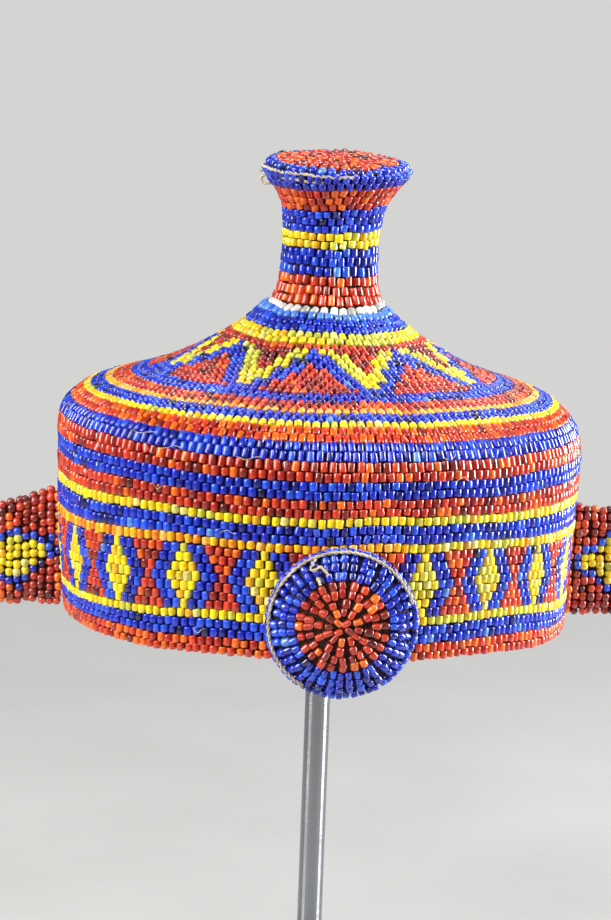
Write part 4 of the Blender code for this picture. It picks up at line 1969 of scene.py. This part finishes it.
@dataclass(frozen=True)
class HandShape:
    """Where the handmade cap departs from a turned form: the finial's disc sits level and the rim droops.

    Attributes:
        axis_x: Where the cap's axis stands.
        rim: The height of its rim.
        flare: How far below the disc the finial starts to bend.
        slope: How much the disc's right side rises, as a share of the distance from its middle.
        sag: How far the rows halfway up the flare sink.
    """

    FINIAL = ("finial_neck_beads", "finial_core", "finial_disc_beads", "finial_disc_backing", "finial_cord")
    WALL = (
        "rim_border_beads", "lozenge_band_beads", "middle_stripe_beads", "shoulder_stripe_beads",
        "cap_foundation", "stray_threads",
    )
    DROOPS = (Droop(-1, 0.0018, 0.036, 0.030, 0.060, 0.046), Droop(1, 0.0034, 0.050, 0.040, 0.018, 0.018))

    axis_x: float
    rim: float
    flare: float = 0.020
    slope: float = 0.054
    sag: float = 0.0007

    def finial_rise(self, places: Array) -> Array:
        """Finds how far the finial's right side rises and its left side sinks.

        Args:
            places: Places on it.

        Returns:
            The rise of each.
        """
        low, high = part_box("finial_cap")
        share = np.clip((places[:, 2] - low.z + self.flare) / self.flare, 0, 1)
        off = places[:, 0] - (low.x + high.x) / 2
        return self.slope * off * eased(share) - self.sag * np.sin(math.pi * share)

    def wall_rise(self, places: Array) -> Array:
        """Finds how far the wall sinks at the arms.

        Args:
            places: Places on it.

        Returns:
            The rise of each, which isn't above 0.
        """
        off, height = places[:, 0] - self.axis_x, places[:, 2] - self.rim
        return -sum(droop.sink(off, height) for droop in self.DROOPS)

    def build(self) -> None:
        """Bends the finished pieces."""
        for names, rise in ((self.FINIAL, self.finial_rise), (self.WALL, self.wall_rise)):
            for name in names:
                mesh = bpy.data.objects[name].data
                places = points_of(mesh)
                places[:, 2] += rise(places)
                mesh.vertices.foreach_set("co", places.ravel())
                mesh.update()


def corners(box: Box) -> list[list[float]]:
    """The lowest and highest corner of a box as plain lists."""
    return [list(corner) for corner in box]


def build_finial(frame: dict, cap: BeadedCap) -> None:
    """Builds the finial's core, its disc and the cord on its edge.

    Args:
        cap: The cap that it stands on.
    """
    start = cap.distance(50.6, np.zeros(1))[0]
    Spool("finial_core", cap.skin, start, cap.skin.length - 0.0004).build("finial_neck")
    tilt = Vector((0.0625, -0.0941, 0.9936)).normalized()
    front = (FRONT - FRONT.dot(tilt) * tilt).normalized()
    disc = BeadedDisc(
        frame, "finial_cap", "finial", tilt, front, 1, 301, pitch=0.0036, uneven=0.00016, shape=ROUND_BEAD
    )
    disc.build()
    strand = (
        (-52.0, 0.0046, -0.0013), (-40.0, 0.0042, -0.0011), (-28.0, 0.0045, -0.0013), (-14.0, 0.0042, -0.0012)
    )
    loop = (
        (-95.0, 0.0050, 0.0010), (-95.0, 0.0045, -0.0002), (-94.0, 0.0052, -0.0012), (-94.0, 0.0064, -0.0009),
        (-94.0, 0.0070, 0.0001), (-94.0, 0.0078, 0.0002), (-93.0, 0.0086, -0.0008), (-92.0, 0.0090, -0.0019),
        (-91.0, 0.0084, -0.0032), (-90.0, 0.0076, -0.0046),
    )
    low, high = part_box("finial_neck")
    Edging(
        disc, sorted(high - low)[1] / 2, (-98.0, 9.0), (strand, loop),
        beaded=False, bead_radius=0.0008, cord_lift=-0.0022,
    ).build()


def build_boss(frame: dict) -> None:
    """Builds the boss's disc, its spool and the cord that is knotted on it.
    """
    disc = BeadedDisc(frame, "boss_cap", "boss", FRONT, UP, 3, 302)
    disc.build()
    BossSpool(frame).build()
    knot = (
        (23.5, 0.0009), (26.9, 0.0021), (30.9, 0.0033), (27.5, 0.0042), (22.7, 0.0039), (20.2, 0.0051),
        (17.1, 0.0073),
    )
    end = ((28.4, 0.0066), (28.8, 0.0072), (29.7, 0.0092))
    low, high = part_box("boss_neck")
    Edging(disc, sorted(high - low)[2] / 2, (-72.0, 150.0), laid=(knot, end)).build()


def build_arms(cap: BeadedCap) -> None:
    """Builds both arms with their lozenges.

    Args:
        cap: The cap that they are sewn to.
    """
    lower = ((0.0042, 0.0190), (0.0165, 0.0068), (0.0335, 0.0150))
    upper = ((0.0042, 0.0190), (0.0062, 0.0206), (0.0210, 0.0222), (0.0335, 0.0150))
    SideArm(cap, "left_arm", -1, lower, upper, 401, 0.0125, (0.0122, 0.0196)).build()
    lower, upper = (((0.0040, 0.0187), (0.0195, tip), (0.0350, 0.0187)) for tip in (0.0085, 0.0285))
    SideArm(cap, "right_arm", 1, lower, upper, 402).build()


def main() -> None:
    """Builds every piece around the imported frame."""
    logging.basicConfig(level=logging.INFO, format="%(message)s")
    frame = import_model()
    cap = BeadedCap(frame)
    PhotoCamera().build(cap.axis_x, cap.rim)
    Studio(Vector((cap.axis_x, 0, cap.rim + 0.05))).build()
    cap.build()
    Foundation(cap).build()
    build_finial(frame, cap)
    build_boss(frame)
    build_arms(cap)
    StrayThreads(cap).build()
    HandShape(cap.axis_x, cap.rim).build()
    DisplayStand(frame).build()


if __name__ == "__main__":
    main()
